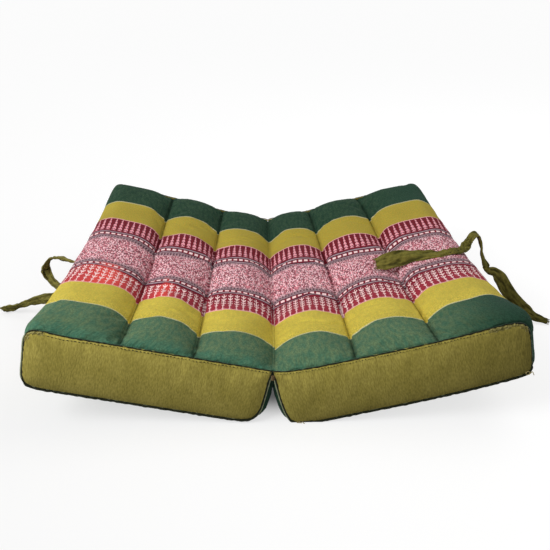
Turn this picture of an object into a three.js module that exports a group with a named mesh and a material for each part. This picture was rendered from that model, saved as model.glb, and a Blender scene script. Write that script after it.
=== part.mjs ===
// Folding meditation cushion: two filled halves that share a sewn hinge along their top inner edges.
// Each half is three tubes side by side, closed at both ends by a panel, with a tie at its outer side.
// Millimetres. X runs across the tubes, Y along them, Z up; the origin is on the floor under the middle.
import * as THREE from 'three';

// ---- Driving dimensions ----
const DEPTH = 720; // along the tubes, end seam to end seam
const HALF_WIDTH = 380; // hinge to the outer end seam
const THICKNESS = 100; // height of an end panel
const REST_ANGLE = THREE.MathUtils.degToRad(13.2); // how far each half's outer end is raised
const HINGE_HEIGHT = 88; // hinge line above the floor at the ends
const HINGE_GAP = 2; // from the hinge's centre plane to a half's edge
const HINGE_SKEW = { shift: 9, reach: 130 }; // the front end of the hinge is sewn this far to the left
const SEAT_GAP = 0.3; // between pieces that touch

// ---- Filling ----
const SEAM_SINK = 34; // channel seams below the level of the end seams, halfway along
const HINGE_SINK = 25; // hinge below the same level, halfway along
const TUBE_CROWN = 22; // tube tops above their channel seams
const BELLY_CROWN = 16; // tube bottoms below their channel seams
const BELLY_SAG = 4; // the bellies hang this much lower halfway along
const CROWN_REACH = 19; // distance from an end over which the crowns swell
const SIDE_WAIST = 3; // the outer side is drawn in by this much halfway along
const PULL_REACH = 70; // distance from the back over which the outer corner is drawn in
const INNER_BULGE = 4; // the inner side swells by this much halfway along
const CORNER_SQUARE = 0.26; // superellipse power at the end panels, 1 is a straight cut, 0 is square
const CORNER_ROUND = 0.5; // the same halfway along

// ---- End panels ----
const PANEL_CLOTH = 2;
const PANEL_LIP = 1.4; // the panel's sewn edge stands this far past the cover
// How far a panel stands past its seam, at shares of the way from the seam to its middle line.
const PANEL_RISE = [
  { share: 0.16, beyond: 3.4 },
  { share: 0.42, beyond: 6 },
];

// ---- Hinge seam ----
const HINGE_TAPE = { rise: 1.5, drop: 10, end: 6 };

// ---- Ties ----
const TIE_CLOTH = 2.4;
const TIE_STEPS = 44;
// Each tie's middle line, from the middle of the half's outer side: out from it, along the tubes and up.
// wide: width of the folded strap; tilt: degrees that the strap is turned on its edge.
const LEFT_TIE = [
  { out: 1, along: 2, up: 0, wide: 24, tilt: 20 }, // sewn to the side
  { out: 10, along: 2, up: 0, wide: 24, tilt: 22 },
  { out: 26, along: 1, up: 5, wide: 20, tilt: 24 },
  { out: 43, along: 0, up: 9, wide: 20, tilt: 22 },
  { out: 55, along: 0, up: 9, wide: 24, tilt: 20 }, // curl
  { out: 64, along: 0, up: -1, wide: 26, tilt: 20 },
  { out: 68, along: 0, up: -14, wide: 26, tilt: 35 },
  { out: 66, along: 0, up: -26, wide: 26, tilt: 75 }, // twist
  { out: 58, along: 0, up: -40, wide: 28, tilt: 110 },
  { out: 49, along: 0, up: -54, wide: 28, tilt: 120 },
  { out: 41, along: 1, up: -66, wide: 28, tilt: 110 },
  { out: 45, along: 2, up: -76, wide: 28, tilt: 85 }, // second bend
  { out: 58, along: 2, up: -81, wide: 28, tilt: 78 },
  { out: 77, along: 2, up: -84, wide: 28, tilt: 75 },
  { out: 101, along: 6, up: -91, wide: 25, tilt: 70 },
  { out: 132, along: 12, up: -103, wide: 19, tilt: 60 },
  { out: 155, along: 17, up: -114, wide: 15, tilt: 45 }, // gathered above the cut end
  { out: 170, along: 19, up: -121, wide: 18, tilt: 22 },
  { out: 182, along: 20, up: -126, wide: 24, tilt: 6 },
];
const RIGHT_TIE = [
  { out: -190, along: -32, up: 4, wide: 30, tilt: 40 }, // free end on the pad
  { out: -172, along: -32, up: 8, wide: 34, tilt: 42 },
  { out: -142, along: -28, up: 15, wide: 34, tilt: 42 },
  { out: -113, along: -33, up: 21, wide: 26, tilt: 30 },
  { out: -86, along: -40, up: 27, wide: 22, tilt: 18 },
  { out: -60, along: -44, up: 31, wide: 20, tilt: 12 },
  { out: -37, along: -38, up: 33.5, wide: 22, tilt: 8 },
  { out: -15, along: -22, up: 30, wide: 24, tilt: 0 }, // sewn over the shoulder
  { out: -1, along: -6, up: 37, wide: 24, tilt: -10 },
  { out: 10, along: 0, up: 52, wide: 24, tilt: -5 },
  { out: 18, along: 2, up: 54, wide: 24, tilt: 0 }, // peak of the loop
  { out: 26, along: 3, up: 42, wide: 25, tilt: 8 },
  { out: 37, along: 3, up: 7, wide: 26, tilt: 12 },
  { out: 44, along: 2, up: -12, wide: 24, tilt: 15 },
  { out: 52, along: -2, up: -25, wide: 18, tilt: 40 }, // twist
  { out: 66, along: -3, up: -29, wide: 20, tilt: 60 },
  { out: 79, along: -7, up: -42, wide: 27, tilt: 74 },
  { out: 93, along: -12, up: -64, wide: 28, tilt: 76 },
  { out: 110, along: -22, up: -85, wide: 28, tilt: 76 },
  { out: 131, along: -32, up: -103, wide: 26, tilt: 70 },
  { out: 151, along: -39, up: -115, wide: 20, tilt: 50 },
  { out: 177, along: -43, up: -126, wide: 12, tilt: 15 }, // cut end on the floor
];

// One row for each half. tie: the rows above; side: -1 left, 1 right; seams: channel seams as a share of the half's width,
// at the front and at the back; bulge: how far the outer side swells past its seams; pullBack: how far
// the outer back corner is drawn in by its seam.
const HALVES = [
  {
    name: 'left',
    side: -1,
    seamsFront: [0.345, 0.658],
    seamsBack: [0.315, 0.654],
    bulge: 15,
    pullBack: 3,
    tie: LEFT_TIE,
  },
  {
    name: 'right',
    side: 1,
    seamsFront: [0.346, 0.684],
    seamsBack: [0.291, 0.643],
    bulge: 22,
    pullBack: 20,
    tie: RIGHT_TIE,
  },
];

// Distances of the sections from an end, denser where the cloth is gathered into the seam.
const END_STEPS = [0, 5, 13, 25, 42, 65, 95, 130, 180, 240, 300];

const cosRest = Math.cos(REST_ANGLE);
const sinRest = Math.sin(REST_ANGLE);

const cloth = (color) => new THREE.MeshStandardMaterial({ color, roughness: 0.95, metalness: 0 });
const coverCloth = cloth(0xa0506a);
const panelCloth = cloth(0x87793c);
const tieCloth = cloth(0x5a6428);

// ---- Shape of a half ----

const endDistance = (y) => DEPTH / 2 - Math.abs(y);

function swell(y) {
  return 1 - Math.exp(-endDistance(y) / CROWN_REACH);
}

// 0 at both end panels, 1 halfway along.
function middleness(y) {
  return Math.sin((Math.PI * endDistance(y)) / DEPTH);
}

function sink(y) {
  return middleness(y) ** 0.9;
}

function hingeX(y) {
  return -HINGE_SKEW.shift * Math.exp(-(y + DEPTH / 2) / HINGE_SKEW.reach);
}

function halfWidth(half, y) {
  const pull = half.pullBack * Math.exp((y - DEPTH / 2) / PULL_REACH);
  return HALF_WIDTH - pull - (half.side * hingeX(y)) / cosRest;
}

function channelSeams(half, y) {
  const along = y / DEPTH + 0.5;
  return half.seamsFront.map((share, i) => {
    return THREE.MathUtils.lerp(share, half.seamsBack[i], along) * halfWidth(half, y);
  });
}

// How far the outer side reaches at half its height.
function outerSide(half, y) {
  return halfWidth(half, y) + half.bulge - SIDE_WAIST * middleness(y);
}

// The edge sewn into the hinge stays a fixed distance from the hinge's centre plane as it sinks.
function hingeEdge(y) {
  const down = HINGE_SINK * sink(y);
  return { across: (HINGE_GAP - down * sinRest) / cosRest, down };
}

// A tube's rounded top or belly between two seams, from share u = start to u = end (-1 and 1 are seams).
function tubeArc(from, to, crown, steps, start = -1, end = 1) {
  const points = [];
  for (let i = 0; i < steps; i += 1) {
    const turn = THREE.MathUtils.lerp(Math.acos(-start), Math.acos(-end), i / steps);
    const u = -Math.cos(turn);
    const across = THREE.MathUtils.lerp(from.across, to.across, (u + 1) / 2);
    const level = THREE.MathUtils.lerp(from.down, to.down, (u + 1) / 2);
    points.push([across, level - crown * Math.max(0, 1 - u * u) ** 0.72]);
  }
  return points;
}

// A quarter of a superellipse round a corner, from its start angle to its end angle in degrees.
function corner(centre, reach, power, from, to, steps) {
  const points = [];
  for (let i = 0; i < steps; i += 1) {
    const angle = THREE.MathUtils.degToRad(THREE.MathUtils.lerp(from, to, i / steps));
    const c = Math.cos(angle);
    const s = Math.sin(angle);
    points.push([
      centre[0] + reach[0] * Math.sign(c) * Math.abs(c) ** power,
      centre[1] - reach[1] * Math.sign(s) * Math.abs(s) ** power,
    ]);
  }
  return points;
}

// Outline of a half at y, clockwise from the hinge edge, as [across, down] in the half's tilted frame.
function sectionAt(half, y) {
  const [seamA, seamB] = channelSeams(half, y);
  const topSeam = SEAM_SINK * sink(y);
  const topCrown = TUBE_CROWN * swell(y);
  const belly = BELLY_CROWN * swell(y);
  const bellyLevel = THICKNESS + BELLY_SAG * middleness(y);
  const bellySeam = bellyLevel - belly;
  const power = THREE.MathUtils.lerp(CORNER_SQUARE, CORNER_ROUND, middleness(y));
  const hinge = hingeEdge(y);
  const outer = outerSide(half, y);
  const inner = HINGE_GAP / cosRest - INNER_BULGE * middleness(y);
  const middle = THICKNESS / 2;
  const outerMid = (seamB + halfWidth(half, y)) / 2;
  const innerMid = seamA / 2;
  const outerEnd = 2 * outerMid - seamB;

  const at = (across, down) => ({ across, down });
  const outerReach = outer - outerMid;
  const innerReach = innerMid - inner;
  const crownLevel = topSeam - topCrown;
  return [
    ...tubeArc(hinge, at(seamA, topSeam), topCrown, 7),
    ...tubeArc(at(seamA, topSeam), at(seamB, topSeam), topCrown, 7),
    ...tubeArc(at(seamB, topSeam), at(outerEnd, topSeam), topCrown, 4, -1, 0),
    ...corner([outerMid, middle], [outerReach, middle - crownLevel], power, 90, 0, 6),
    ...corner([outerMid, middle], [outerReach, bellyLevel - middle], power, 0, -90, 5),
    ...tubeArc(at(outerEnd, bellySeam), at(seamB, bellySeam), -belly, 3, 0, 1),
    ...tubeArc(at(seamB, bellySeam), at(seamA, bellySeam), -belly, 5),
    ...tubeArc(at(seamA, bellySeam), at(0, bellySeam), -belly, 3, -1, 0),
    ...corner([innerMid, middle], [innerReach, bellyLevel - middle], power, -90, -180, 6),
    [inner, middle],
    [THREE.MathUtils.lerp(inner, hinge.across, 0.4), THREE.MathUtils.lerp(middle, hinge.down, 0.5)],
  ];
}

// From a half's tilted frame to the part's frame. What would reach under the floor is pressed flat on it.
function place(half, across, down, y) {
  const x = hingeX(y) + half.side * (across * cosRest + down * sinRest);
  const z = HINGE_HEIGHT + across * sinRest - down * cosRest;
  return new THREE.Vector3(x, y, Math.max(0, z));
}

// ---- Closed bodies from rings of points ----

function signedVolume(points, triangles) {
  let sum = 0;
  const cross = new THREE.Vector3();
  for (let i = 0; i < triangles.length; i += 3) {
    const [a, b, c] = [points[triangles[i]], points[triangles[i + 1]], points[triangles[i + 2]]];
    sum += a.dot(cross.crossVectors(b, c));
  }
  return sum / 6;
}

// rings: lists of equal length, end to end; ends: the first and last ring drawn in a plane, to fill them.
function loft(rings, ends) {
  const count = rings[0].length;
  const points = rings.flat();
  const triangles = [];
  for (let ring = 0; ring < rings.length - 1; ring += 1) {
    for (let i = 0; i < count; i += 1) {
      const a = ring * count + i;
      const b = ring * count + ((i + 1) % count);
      triangles.push(a, b, a + count, b, b + count, a + count);
    }
  }
  ends.forEach((outline, end) => {
    const first = end === 0 ? 0 : (rings.length - 1) * count;
    const flat = outline.map(([u, v]) => new THREE.Vector2(u, v));
    const turned = THREE.ShapeUtils.isClockWise(flat);
    THREE.ShapeUtils.triangulateShape(flat, []).forEach(([a, b, c]) => {
      const face = (end === 0) === turned ? [a, b, c] : [a, c, b];
      triangles.push(...face.map((i) => first + i));
    });
  });
  if (signedVolume(points, triangles) < 0) {
    triangles.reverse();
  }
  const geometry = new THREE.BufferGeometry();
  geometry.setAttribute('position', new THREE.Float32BufferAttribute(points.flatMap((p) => p.toArray()), 3));
  geometry.setIndex(triangles);
  geometry.computeVertexNormals();
  return geometry;
}

// Points moved out from a closed outline along its corner normals.
function outset(outline, distance) {
  const count = outline.length;
  return outline.map(([u, v], i) => {
    const [pu, pv] = outline[(i + count - 1) % count];
    const [nu, nv] = outline[(i + 1) % count];
    const length = Math.hypot(nu - pu, nv - pv);
    return [u + ((nv - pv) / length) * distance, v - ((nu - pu) / length) * distance];
  });
}

// The outline drawn in towards the half's long middle line by the given share.
function drawnIn(half, outline, y, share) {
  const middle = THICKNESS / 2;
  return outline.map(([across, down]) => {
    const spine = THREE.MathUtils.clamp(across, middle, halfWidth(half, y) - middle);
    return [THREE.MathUtils.lerp(across, spine, share), THREE.MathUtils.lerp(down, middle, share)];
  });
}

// ---- The pieces ----

const coverEnd = DEPTH / 2 - PANEL_CLOTH - SEAT_GAP;

function ringAt(half, outline, y) {
  return outline.map(([across, down]) => place(half, across, down, y));
}

// The rings of a swollen end (-1 front, 1 back) from its seam to its flat middle, and that middle's outline.
function swollenEnd(half, end, from) {
  const y = (end * DEPTH) / 2;
  const outlines = PANEL_RISE.map((row) => drawnIn(half, sectionAt(half, y), y, row.share));
  const rings = outlines.map((outline, i) => ringAt(half, outline, end * (from + PANEL_RISE[i].beyond)));
  return { rings, middle: outlines.at(-1) };
}

function padGeometry(half) {
  const front = swollenEnd(half, -1, coverEnd);
  const back = swollenEnd(half, 1, coverEnd);
  const between = END_STEPS.map((step) => step - DEPTH / 2);
  const rings = [...between, 0, ...between.map((y) => -y).reverse()].map((y) => {
    return ringAt(half, sectionAt(half, y), THREE.MathUtils.clamp(y, -coverEnd, coverEnd));
  });
  return loft([...front.rings.reverse(), ...rings, ...back.rings], [front.middle, back.middle]);
}

function panelGeometry(half, end) {
  const lip = outset(sectionAt(half, (end * DEPTH) / 2), PANEL_LIP);
  const outside = swollenEnd(half, end, DEPTH / 2);
  const inside = swollenEnd(half, end, DEPTH / 2 - PANEL_CLOTH);
  const rings = [
    ...outside.rings.reverse(),
    ringAt(half, lip, (end * DEPTH) / 2),
    ringAt(half, lip, end * (DEPTH / 2 - PANEL_CLOTH)),
    ...inside.rings,
  ];
  // The panel's faces are cut along the same diagonals as the filling behind it.
  return loft(end < 0 ? rings.reverse() : rings, [outside.middle, inside.middle]);
}

function hingeGeometry() {
  const reach = coverEnd - HINGE_TAPE.end;
  const wide = HINGE_GAP - SEAT_GAP;
  const rings = [];
  for (let i = 0; i <= 24; i += 1) {
    const y = THREE.MathUtils.lerp(-reach, reach, i / 24);
    const line = HINGE_HEIGHT - HINGE_SINK * sink(y);
    const x = hingeX(y);
    rings.push([
      new THREE.Vector3(x - wide, y, line + HINGE_TAPE.rise),
      new THREE.Vector3(x + wide, y, line + HINGE_TAPE.rise),
      new THREE.Vector3(x + wide, y, line - HINGE_TAPE.drop),
      new THREE.Vector3(x - wide, y, line - HINGE_TAPE.drop),
    ]);
  }
  const square = [[0, 0], [1, 0], [1, 1], [0, 1]];
  return loft(rings, [square, square]);
}

// A flat strap swept along its middle line, level across at tilt 0.
function tieGeometry(half) {
  const root = place(half, outerSide(half, 0), THICKNESS / 2, 0);
  const middles = half.tie.map((row) => {
    return new THREE.Vector3(root.x + half.side * row.out, row.along, root.z + row.up);
  });
  const line = new THREE.CatmullRomCurve3(middles, false, 'centripetal');
  const rings = [];
  for (let i = 0; i <= TIE_STEPS; i += 1) {
    const share = (i / TIE_STEPS) * (middles.length - 1);
    const row = half.tie[Math.min(Math.floor(share), middles.length - 2)];
    const next = half.tie[Math.min(Math.floor(share), middles.length - 2) + 1];
    const between = share - half.tie.indexOf(row);
    const wide = THREE.MathUtils.lerp(row.wide, next.wide, between) / 2;
    const tilt = THREE.MathUtils.degToRad(THREE.MathUtils.lerp(row.tilt, next.tilt, between));
    const middle = line.getPoint(i / TIE_STEPS);
    const ahead = line.getTangent(i / TIE_STEPS).multiplyScalar(half.side);
    const across = new THREE.Vector3(0, 0, 1).cross(ahead).normalize().applyAxisAngle(ahead, tilt * half.side);
    const face = ahead.clone().cross(across).multiplyScalar(TIE_CLOTH / 2);
    rings.push([[-1, -1], [1, -1], [1, 1], [-1, 1]].map(([u, v]) => {
      return middle.clone().addScaledVector(across, u * wide).addScaledVector(face, v);
    }));
  }
  const square = [[-1, -1], [1, -1], [1, 1], [-1, 1]];
  return loft(rings, [square, square]);
}

// ---- Assembly ----

const cushion = new THREE.Group();

function add(name, geometry, material) {
  const mesh = new THREE.Mesh(geometry, material);
  mesh.name = name;
  cushion.add(mesh);
}

for (const half of HALVES) {
  add(`pad_${half.name}`, padGeometry(half), coverCloth);
  add(`end_panel_front_${half.name}`, panelGeometry(half, -1), panelCloth);
  add(`end_panel_back_${half.name}`, panelGeometry(half, 1), panelCloth);
  add(`tie_${half.name}`, tieGeometry(half), tieCloth);
}
add('hinge_seam', hingeGeometry(), coverCloth);

export default cushion;
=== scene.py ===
"""Folding meditation cushion: two filled halves of three tubes each, sewn together along a hinge.

Sizes are in millimetres and become metres where meshes are made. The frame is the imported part's:
X runs across the tubes, Y along them, Z up, with the floor at zero.
"""

from __future__ import annotations

import logging
import math
from collections.abc import Callable
from dataclasses import dataclass, field
from enum import Enum
from functools import cached_property

import bpy
import numpy as np
from mathutils import Matrix, Vector

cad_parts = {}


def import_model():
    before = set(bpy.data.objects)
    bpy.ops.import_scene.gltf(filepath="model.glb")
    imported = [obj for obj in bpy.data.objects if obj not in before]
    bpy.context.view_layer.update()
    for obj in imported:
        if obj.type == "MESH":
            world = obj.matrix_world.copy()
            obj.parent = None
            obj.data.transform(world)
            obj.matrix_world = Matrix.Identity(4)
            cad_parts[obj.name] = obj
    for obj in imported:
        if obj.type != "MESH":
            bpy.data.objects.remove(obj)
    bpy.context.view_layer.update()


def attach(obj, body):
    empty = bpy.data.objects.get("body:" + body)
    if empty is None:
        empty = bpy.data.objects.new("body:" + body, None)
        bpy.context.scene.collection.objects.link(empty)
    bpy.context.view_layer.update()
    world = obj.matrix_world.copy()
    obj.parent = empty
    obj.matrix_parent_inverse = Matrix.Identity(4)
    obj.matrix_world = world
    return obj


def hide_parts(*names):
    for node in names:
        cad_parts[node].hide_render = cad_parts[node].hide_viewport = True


Array = np.ndarray
Colour = tuple[float, float, float, float]
Pair = tuple[float, float]
Triple = tuple[float, float, float]
Lines = list[np.ndarray]
Marks = dict[str, np.ndarray]
Finish = bpy.types.Material
Node = bpy.types.Node
NodeTree = bpy.types.NodeTree
Socket = bpy.types.NodeSocket
Thing = bpy.types.Object

MM = 0.001
BODY = "root"
SEED = 11
CLEAR = 0.2  # least height over the floor, mm
log = logging.getLogger("cushion")


# ---- Numbers and small geometry ----


def mix(a: float, b: float, share: float) -> float:
    """The value that lies share of the way from a to b."""
    return a + (b - a) * share


def fade(distance: Array, reach: float) -> Array:
    """1 at no distance, dying away over reach."""
    return np.exp(-distance / reach)


def bell(value: Array, middle: float, reach: float) -> Array:
    """1 at the middle, dying away over reach on both sides."""
    return np.exp(-(((value - middle) / reach) ** 2))


def climb(value: Array, start: float, run: float, top: float = 1) -> Array:
    """0 up to start, then rising by 1 over each run, up to top."""
    return np.clip((value - start) / run, 0, top)


def wane(value: Array, reach: float) -> Array:
    """1 at zero, 0 from reach on, straight between."""
    return np.clip(1 - value / reach, 0, 1)


def smooth(share: Array) -> Array:
    """The share with both its ends eased."""
    return share * share * (3 - 2 * share)


def signed(value: Array, power: float) -> Array:
    """The value to a power, its sign kept."""
    return np.sign(value) * np.abs(value) ** power


def unit(vectors: Array) -> Array:
    """The vectors at length one."""
    return vectors / np.maximum(np.linalg.norm(vectors, axis=-1, keepdims=True), 1e-12)


def rgb(red: float, green: float, blue: float) -> Colour:
    """A display colour from 0 to 255 as the linear colour that shaders take."""
    shares = (value / 255 for value in (red, green, blue))
    return (*(v / 12.92 if v <= 0.04045 else ((v + 0.055) / 1.055) ** 2.4 for v in shares), 1.0)


def run_along(line: Array) -> Array:
    """How far along a line each of its points lies."""
    return np.concatenate([[0], np.cumsum(np.linalg.norm(np.diff(line, axis=0), axis=1))])


def spread(line: Array, count: int) -> Array:
    """That many points, evenly along a line."""
    along = run_along(line)
    return np.stack([np.interp(np.linspace(0, along[-1], count), along, axis) for axis in line.T], axis=-1)


def eased(values: Array, count: int) -> Array:
    """Row values spread smoothly.

    Args:
        values: a value for each row.
        count: how many points come back.

    Returns:
        The value at each point.
    """
    at = np.linspace(0, len(values) - 1, count)
    low = np.minimum(at.astype(int), len(values) - 2)
    return mix(values[low], values[low + 1], smooth(at - low))


def smooth_line(points: Array, count: int) -> Array:
    """A centripetal Catmull-Rom line through points, evenly spaced in its parameter.

    Args:
        points: the points to pass through, n x 3.
        count: how many points come back.

    Returns:
        count x 3 points.
    """
    padded = np.vstack([2 * points[0] - points[1], points, 2 * points[-1] - points[-2]])
    result = []
    for t in np.linspace(0, len(points) - 1, count):
        i = min(int(t), len(points) - 2)
        p = padded[i : i + 4]
        k = np.append(0, np.cumsum(np.sqrt(np.linalg.norm(np.diff(p, axis=0), axis=1))))
        x = mix(k[1], k[2], t - i)
        a = [p[j] + (p[j + 1] - p[j]) * (x - k[j]) / (k[j + 1] - k[j]) for j in range(3)]
        b = [a[j] + (a[j + 1] - a[j]) * (x - k[j]) / (k[j + 2] - k[j]) for j in range(2)]
        result.append(b[0] + (b[1] - b[0]) * (x - k[1]) / (k[2] - k[1]))
    return np.array(result)


@dataclass(frozen=True)
class Ripples:
    """Smooth irregular waves over a cloth: a sum of sines with seeded directions and phases.

    wave gives the typical wavelengths along the first and the second coordinate, in mm.
    """

    seed: int
    wave: Pair
    height: float = 1
    count: int = 9

    def at(self, first: Array, second: Array, more: int = 0) -> Array:
        """Heights of the waves over a cloth.

        Args:
            first: the places' first coordinate, mm.
            second: their second coordinate, mm.
            more: added to the seed.

        Returns:
            A height for each place.
        """
        draw = np.random.default_rng(SEED + self.seed + more)
        turns = [draw.normal(0, 1, self.count) * 2 * math.pi / wave for wave in self.wave]
        waves = zip(*turns, draw.uniform(0, 2 * math.pi, self.count))
        total = sum(np.sin(a * first + b * second + phase) for a, b, phase in waves)
        return total / math.sqrt(self.count * 1.6) * self.height

    def along(self, count: int, more: int = 0, slant: float = 1) -> Array:
        """Heights at count points along a line."""
        at = np.arange(count)
        return self.at(at, at * slant, more)


# ---- Meshes ----


def linked(name: str, data: bpy.types.ID) -> Thing:
    """Links a new object to the scene.

    Args:
        name: its name.
        data: its mesh, lamp or camera.

    Returns:
        The object.
    """
    thing = bpy.data.objects.new(name, data)
    bpy.context.scene.collection.objects.link(thing)
    return thing


def marked(mesh: bpy.types.Mesh, marks: Marks) -> None:
    """Keeps a number or a vector for each of a mesh's points.

    Args:
        mesh: the mesh.
        marks: the values under each mark's name.
    """
    for label, values in marks.items():
        kind, slot = ("FLOAT", "value") if values.ndim == 1 else ("FLOAT_VECTOR", "vector")
        mesh.attributes.new(label, kind, "POINT").data.foreach_set(slot, values.astype(np.float32).ravel())


def clothed(name: str, points: Array, faces: list, weave: Array, finish: Finish, marks: Marks) -> Thing:
    """Makes a smooth mesh with cloth coordinates.

    Args:
        name: the piece's name.
        points: its points, mm.
        faces: the points of each face.
        weave: cloth coordinates of each face's corners in turn, mm.
        finish: the material of every face.
        marks: point attributes that the material reads.

    Returns:
        The linked object, at the origin.
    """
    mesh = bpy.data.meshes.new(name)
    mesh.from_pydata((points * MM).tolist(), [], faces)
    mesh.uv_layers.new(name="Weave").data.foreach_set("uv", (weave * MM).astype(np.float32).ravel())
    marked(mesh, marks)
    mesh.shade_smooth()
    mesh.materials.append(finish)
    return linked(name, mesh)


def closed_skin(name: str, grid: Array, weave: Array, finish: Finish, **marks: Array) -> Thing:
    """Makes a tube of sections with both its ends capped, its faces outward.

    Args:
        name: the piece's name.
        grid: points of each section, rows x columns x 3, mm.
        weave: the grid's cloth coordinates in mm, with one column more, where the section closes.
        finish: the material.
        marks: point attributes that the material reads, rows x columns.

    Returns:
        The linked object.
    """
    points = grid.reshape(-1, 3)
    index = np.arange(len(points)).reshape(grid.shape[:2])
    after = np.roll(index, -1, axis=1)
    quads = np.stack([index[:-1], after[:-1], after[1:], index[1:]], axis=-1).reshape(-1, 4)
    corners = np.stack([weave[:-1, :-1], weave[:-1, 1:], weave[1:, 1:], weave[1:, :-1]], axis=2)
    faces = [*quads, index[0, ::-1], index[-1]]
    places = [*corners.reshape(-1, 4, 2), weave[0, :-1][::-1], weave[-1, :-1]]
    a, b, c, d = (points[quads[:, i]] - points.mean(axis=0) for i in range(4))
    if np.einsum("ij,ij->", a + b + c + d, np.cross(c - a, d - b)) < 0:
        faces = [face[::-1] for face in faces]
        places = [place[::-1] for place in places]
    marks = {label: values.ravel() for label, values in marks.items()}
    return clothed(name, points, [face.tolist() for face in faces], np.concatenate(places), finish, marks)


# ---- Node trees ----


def operator(operation: str) -> Callable[[Signal, object], Signal]:
    """A method that joins two values by a Math node.

    Args:
        operation: the node's operation.

    Returns:
        The method.
    """

    def method(self: Signal, other: object) -> Signal:
        """The operation's result on both values."""
        return self.kit.math(operation, self, other)

    return method


class Signal:
    """A node's result that can be reckoned with: each sign adds a Math node.

    a | b is the greater of the two, a & b the lesser, and a % b what is left after whole steps of b.
    """

    def __init__(self, kit: Kit, socket: Socket) -> None:
        self.kit = kit
        self.socket = socket

    def __rsub__(self, other: object) -> Signal:
        """The difference from a plain number."""
        return self.kit.math("SUBTRACT", other, self)

    def __abs__(self) -> Signal:
        """The size without its sign."""
        return self.kit.math("ABSOLUTE", self)

    __add__ = operator("ADD")
    __sub__ = operator("SUBTRACT")
    __mul__ = operator("MULTIPLY")
    __truediv__ = operator("DIVIDE")
    __mod__ = operator("FLOORED_MODULO")
    __lt__ = operator("LESS_THAN")
    __gt__ = operator("GREATER_THAN")
    __or__ = operator("MAXIMUM")
    __and__ = operator("MINIMUM")
    swing = operator("PINGPONG")  # from 0 up to the reach and back, over and over


class Kit:
    """Short calls for adding nodes to a tree."""

    def __init__(self, tree: NodeTree, prefix: str) -> None:
        """Works on that tree, whose own kinds of node start with prefix."""
        self.tree = tree
        self.prefix = prefix

    def feed(self, socket: Socket, value: object) -> None:
        """Links a socket or a signal to an input, or sets its value.

        Args:
            socket: the input.
            value: what it takes.
        """
        value = value.socket if isinstance(value, Signal) else value
        if isinstance(value, Socket):
            self.tree.links.new(value, socket)
        else:
            socket.default_value = value

    def node(self, kind: str, feeds: dict | None = None, **settings: object) -> Node:
        """Adds a node.

        Args:
            kind: the node's type, without the tree's own prefix.
            feeds: for an input's name or number, what it takes.
            settings: the node's own properties.

        Returns:
            The node.
        """
        whole = kind.startswith(("Function", "ShaderNode"))
        made = self.tree.nodes.new(kind if whole else self.prefix + kind)
        for key, value in settings.items():
            setattr(made, key, value)
        for key, value in (feeds or {}).items():
            self.feed(made.inputs[key], value)
        return made

    def value(self, kind: str, feeds: dict | None = None, out: str | int = 0, **settings: object) -> Signal:
        """Adds a node as node() does, and gives one of its outputs."""
        return Signal(self, self.node(kind, feeds, **settings).outputs[out])

    def math(self, operation: str, *values: object, **settings: object) -> Signal:
        """One Math node's result."""
        return self.value("ShaderNodeMath", dict(enumerate(values)), operation=operation, **settings)


class Tree(Kit):
    """A Geometry Nodes tree that works on a path's edges, with its sizes as named inputs."""

    def __init__(self, name: str, **inputs: float) -> None:
        """Starts the tree.

        Args:
            name: its name.
            inputs: each named input's default.
        """
        super().__init__(bpy.data.node_groups.new(name, "GeometryNodeTree"), "GeometryNode")
        face = self.tree.interface
        face.new_socket("Geometry", in_out="INPUT", socket_type="NodeSocketGeometry")
        for label, default in inputs.items():
            kind = "NodeSocketInt" if isinstance(default, int) else "NodeSocketFloat"
            face.new_socket(label, in_out="INPUT", socket_type=kind).default_value = default
        face.new_socket("Geometry", in_out="OUTPUT", socket_type="NodeSocketGeometry")
        self.given = self.tree.nodes.new("NodeGroupInput").outputs
        self.line = self.value("MeshToCurve", {"Mesh": self.given["Geometry"]})

    def rolled(self, curve: Signal, sides: object, radius: float, scale: object) -> Signal:
        """A capped round roll along a curve."""
        ring = self.value("CurvePrimitiveCircle", {"Resolution": sides, "Radius": radius})
        return self.value("CurveToMesh", {0: curve, 1: ring, "Scale": scale, "Fill Caps": True})

    def stray(self, label: str) -> Signal:
        """A random vector for each place.

        Args:
            label: the named input with its limit each way.

        Returns:
            The vector.
        """
        wide = Signal(self, self.given[label])
        feeds = {0: wide * -1.0, 1: wide, "Seed": self.given["Seed"]}
        return self.value("FunctionNodeRandomValue", feeds, data_type="FLOAT_VECTOR")

    def spots(self) -> Node:
        """Points along the path, one for each pitch."""
        return self.node("CurveToPoints", {"Curve": self.line, "Length": self.given["Pitch"]}, mode="LENGTH")

    def planted(self, spots: Node, shape: Signal, turn: Signal, size: Signal, finish: Finish) -> NodeTree:
        """Sets a shape on every spot and closes the tree."""
        feeds = {"Points": spots.outputs["Points"], "Instance": shape, "Rotation": turn, "Scale": size}
        return self.end(self.value("InstanceOnPoints", feeds), finish)

    def end(self, geometry: Signal, finish: Finish) -> NodeTree:
        """Realizes, smooths and dresses the geometry, and closes the tree.

        Args:
            geometry: what the tree has made.
            finish: the material of all its faces.

        Returns:
            The tree.
        """
        real = self.value("RealizeInstances", {"Geometry": geometry})
        smoothed = self.value("SetShadeSmooth", {"Geometry": real})
        dressed = self.value("SetMaterial", {"Geometry": smoothed, "Material": finish})
        self.feed(self.tree.nodes.new("NodeGroupOutput").inputs[0], dressed)
        return self.tree


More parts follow.
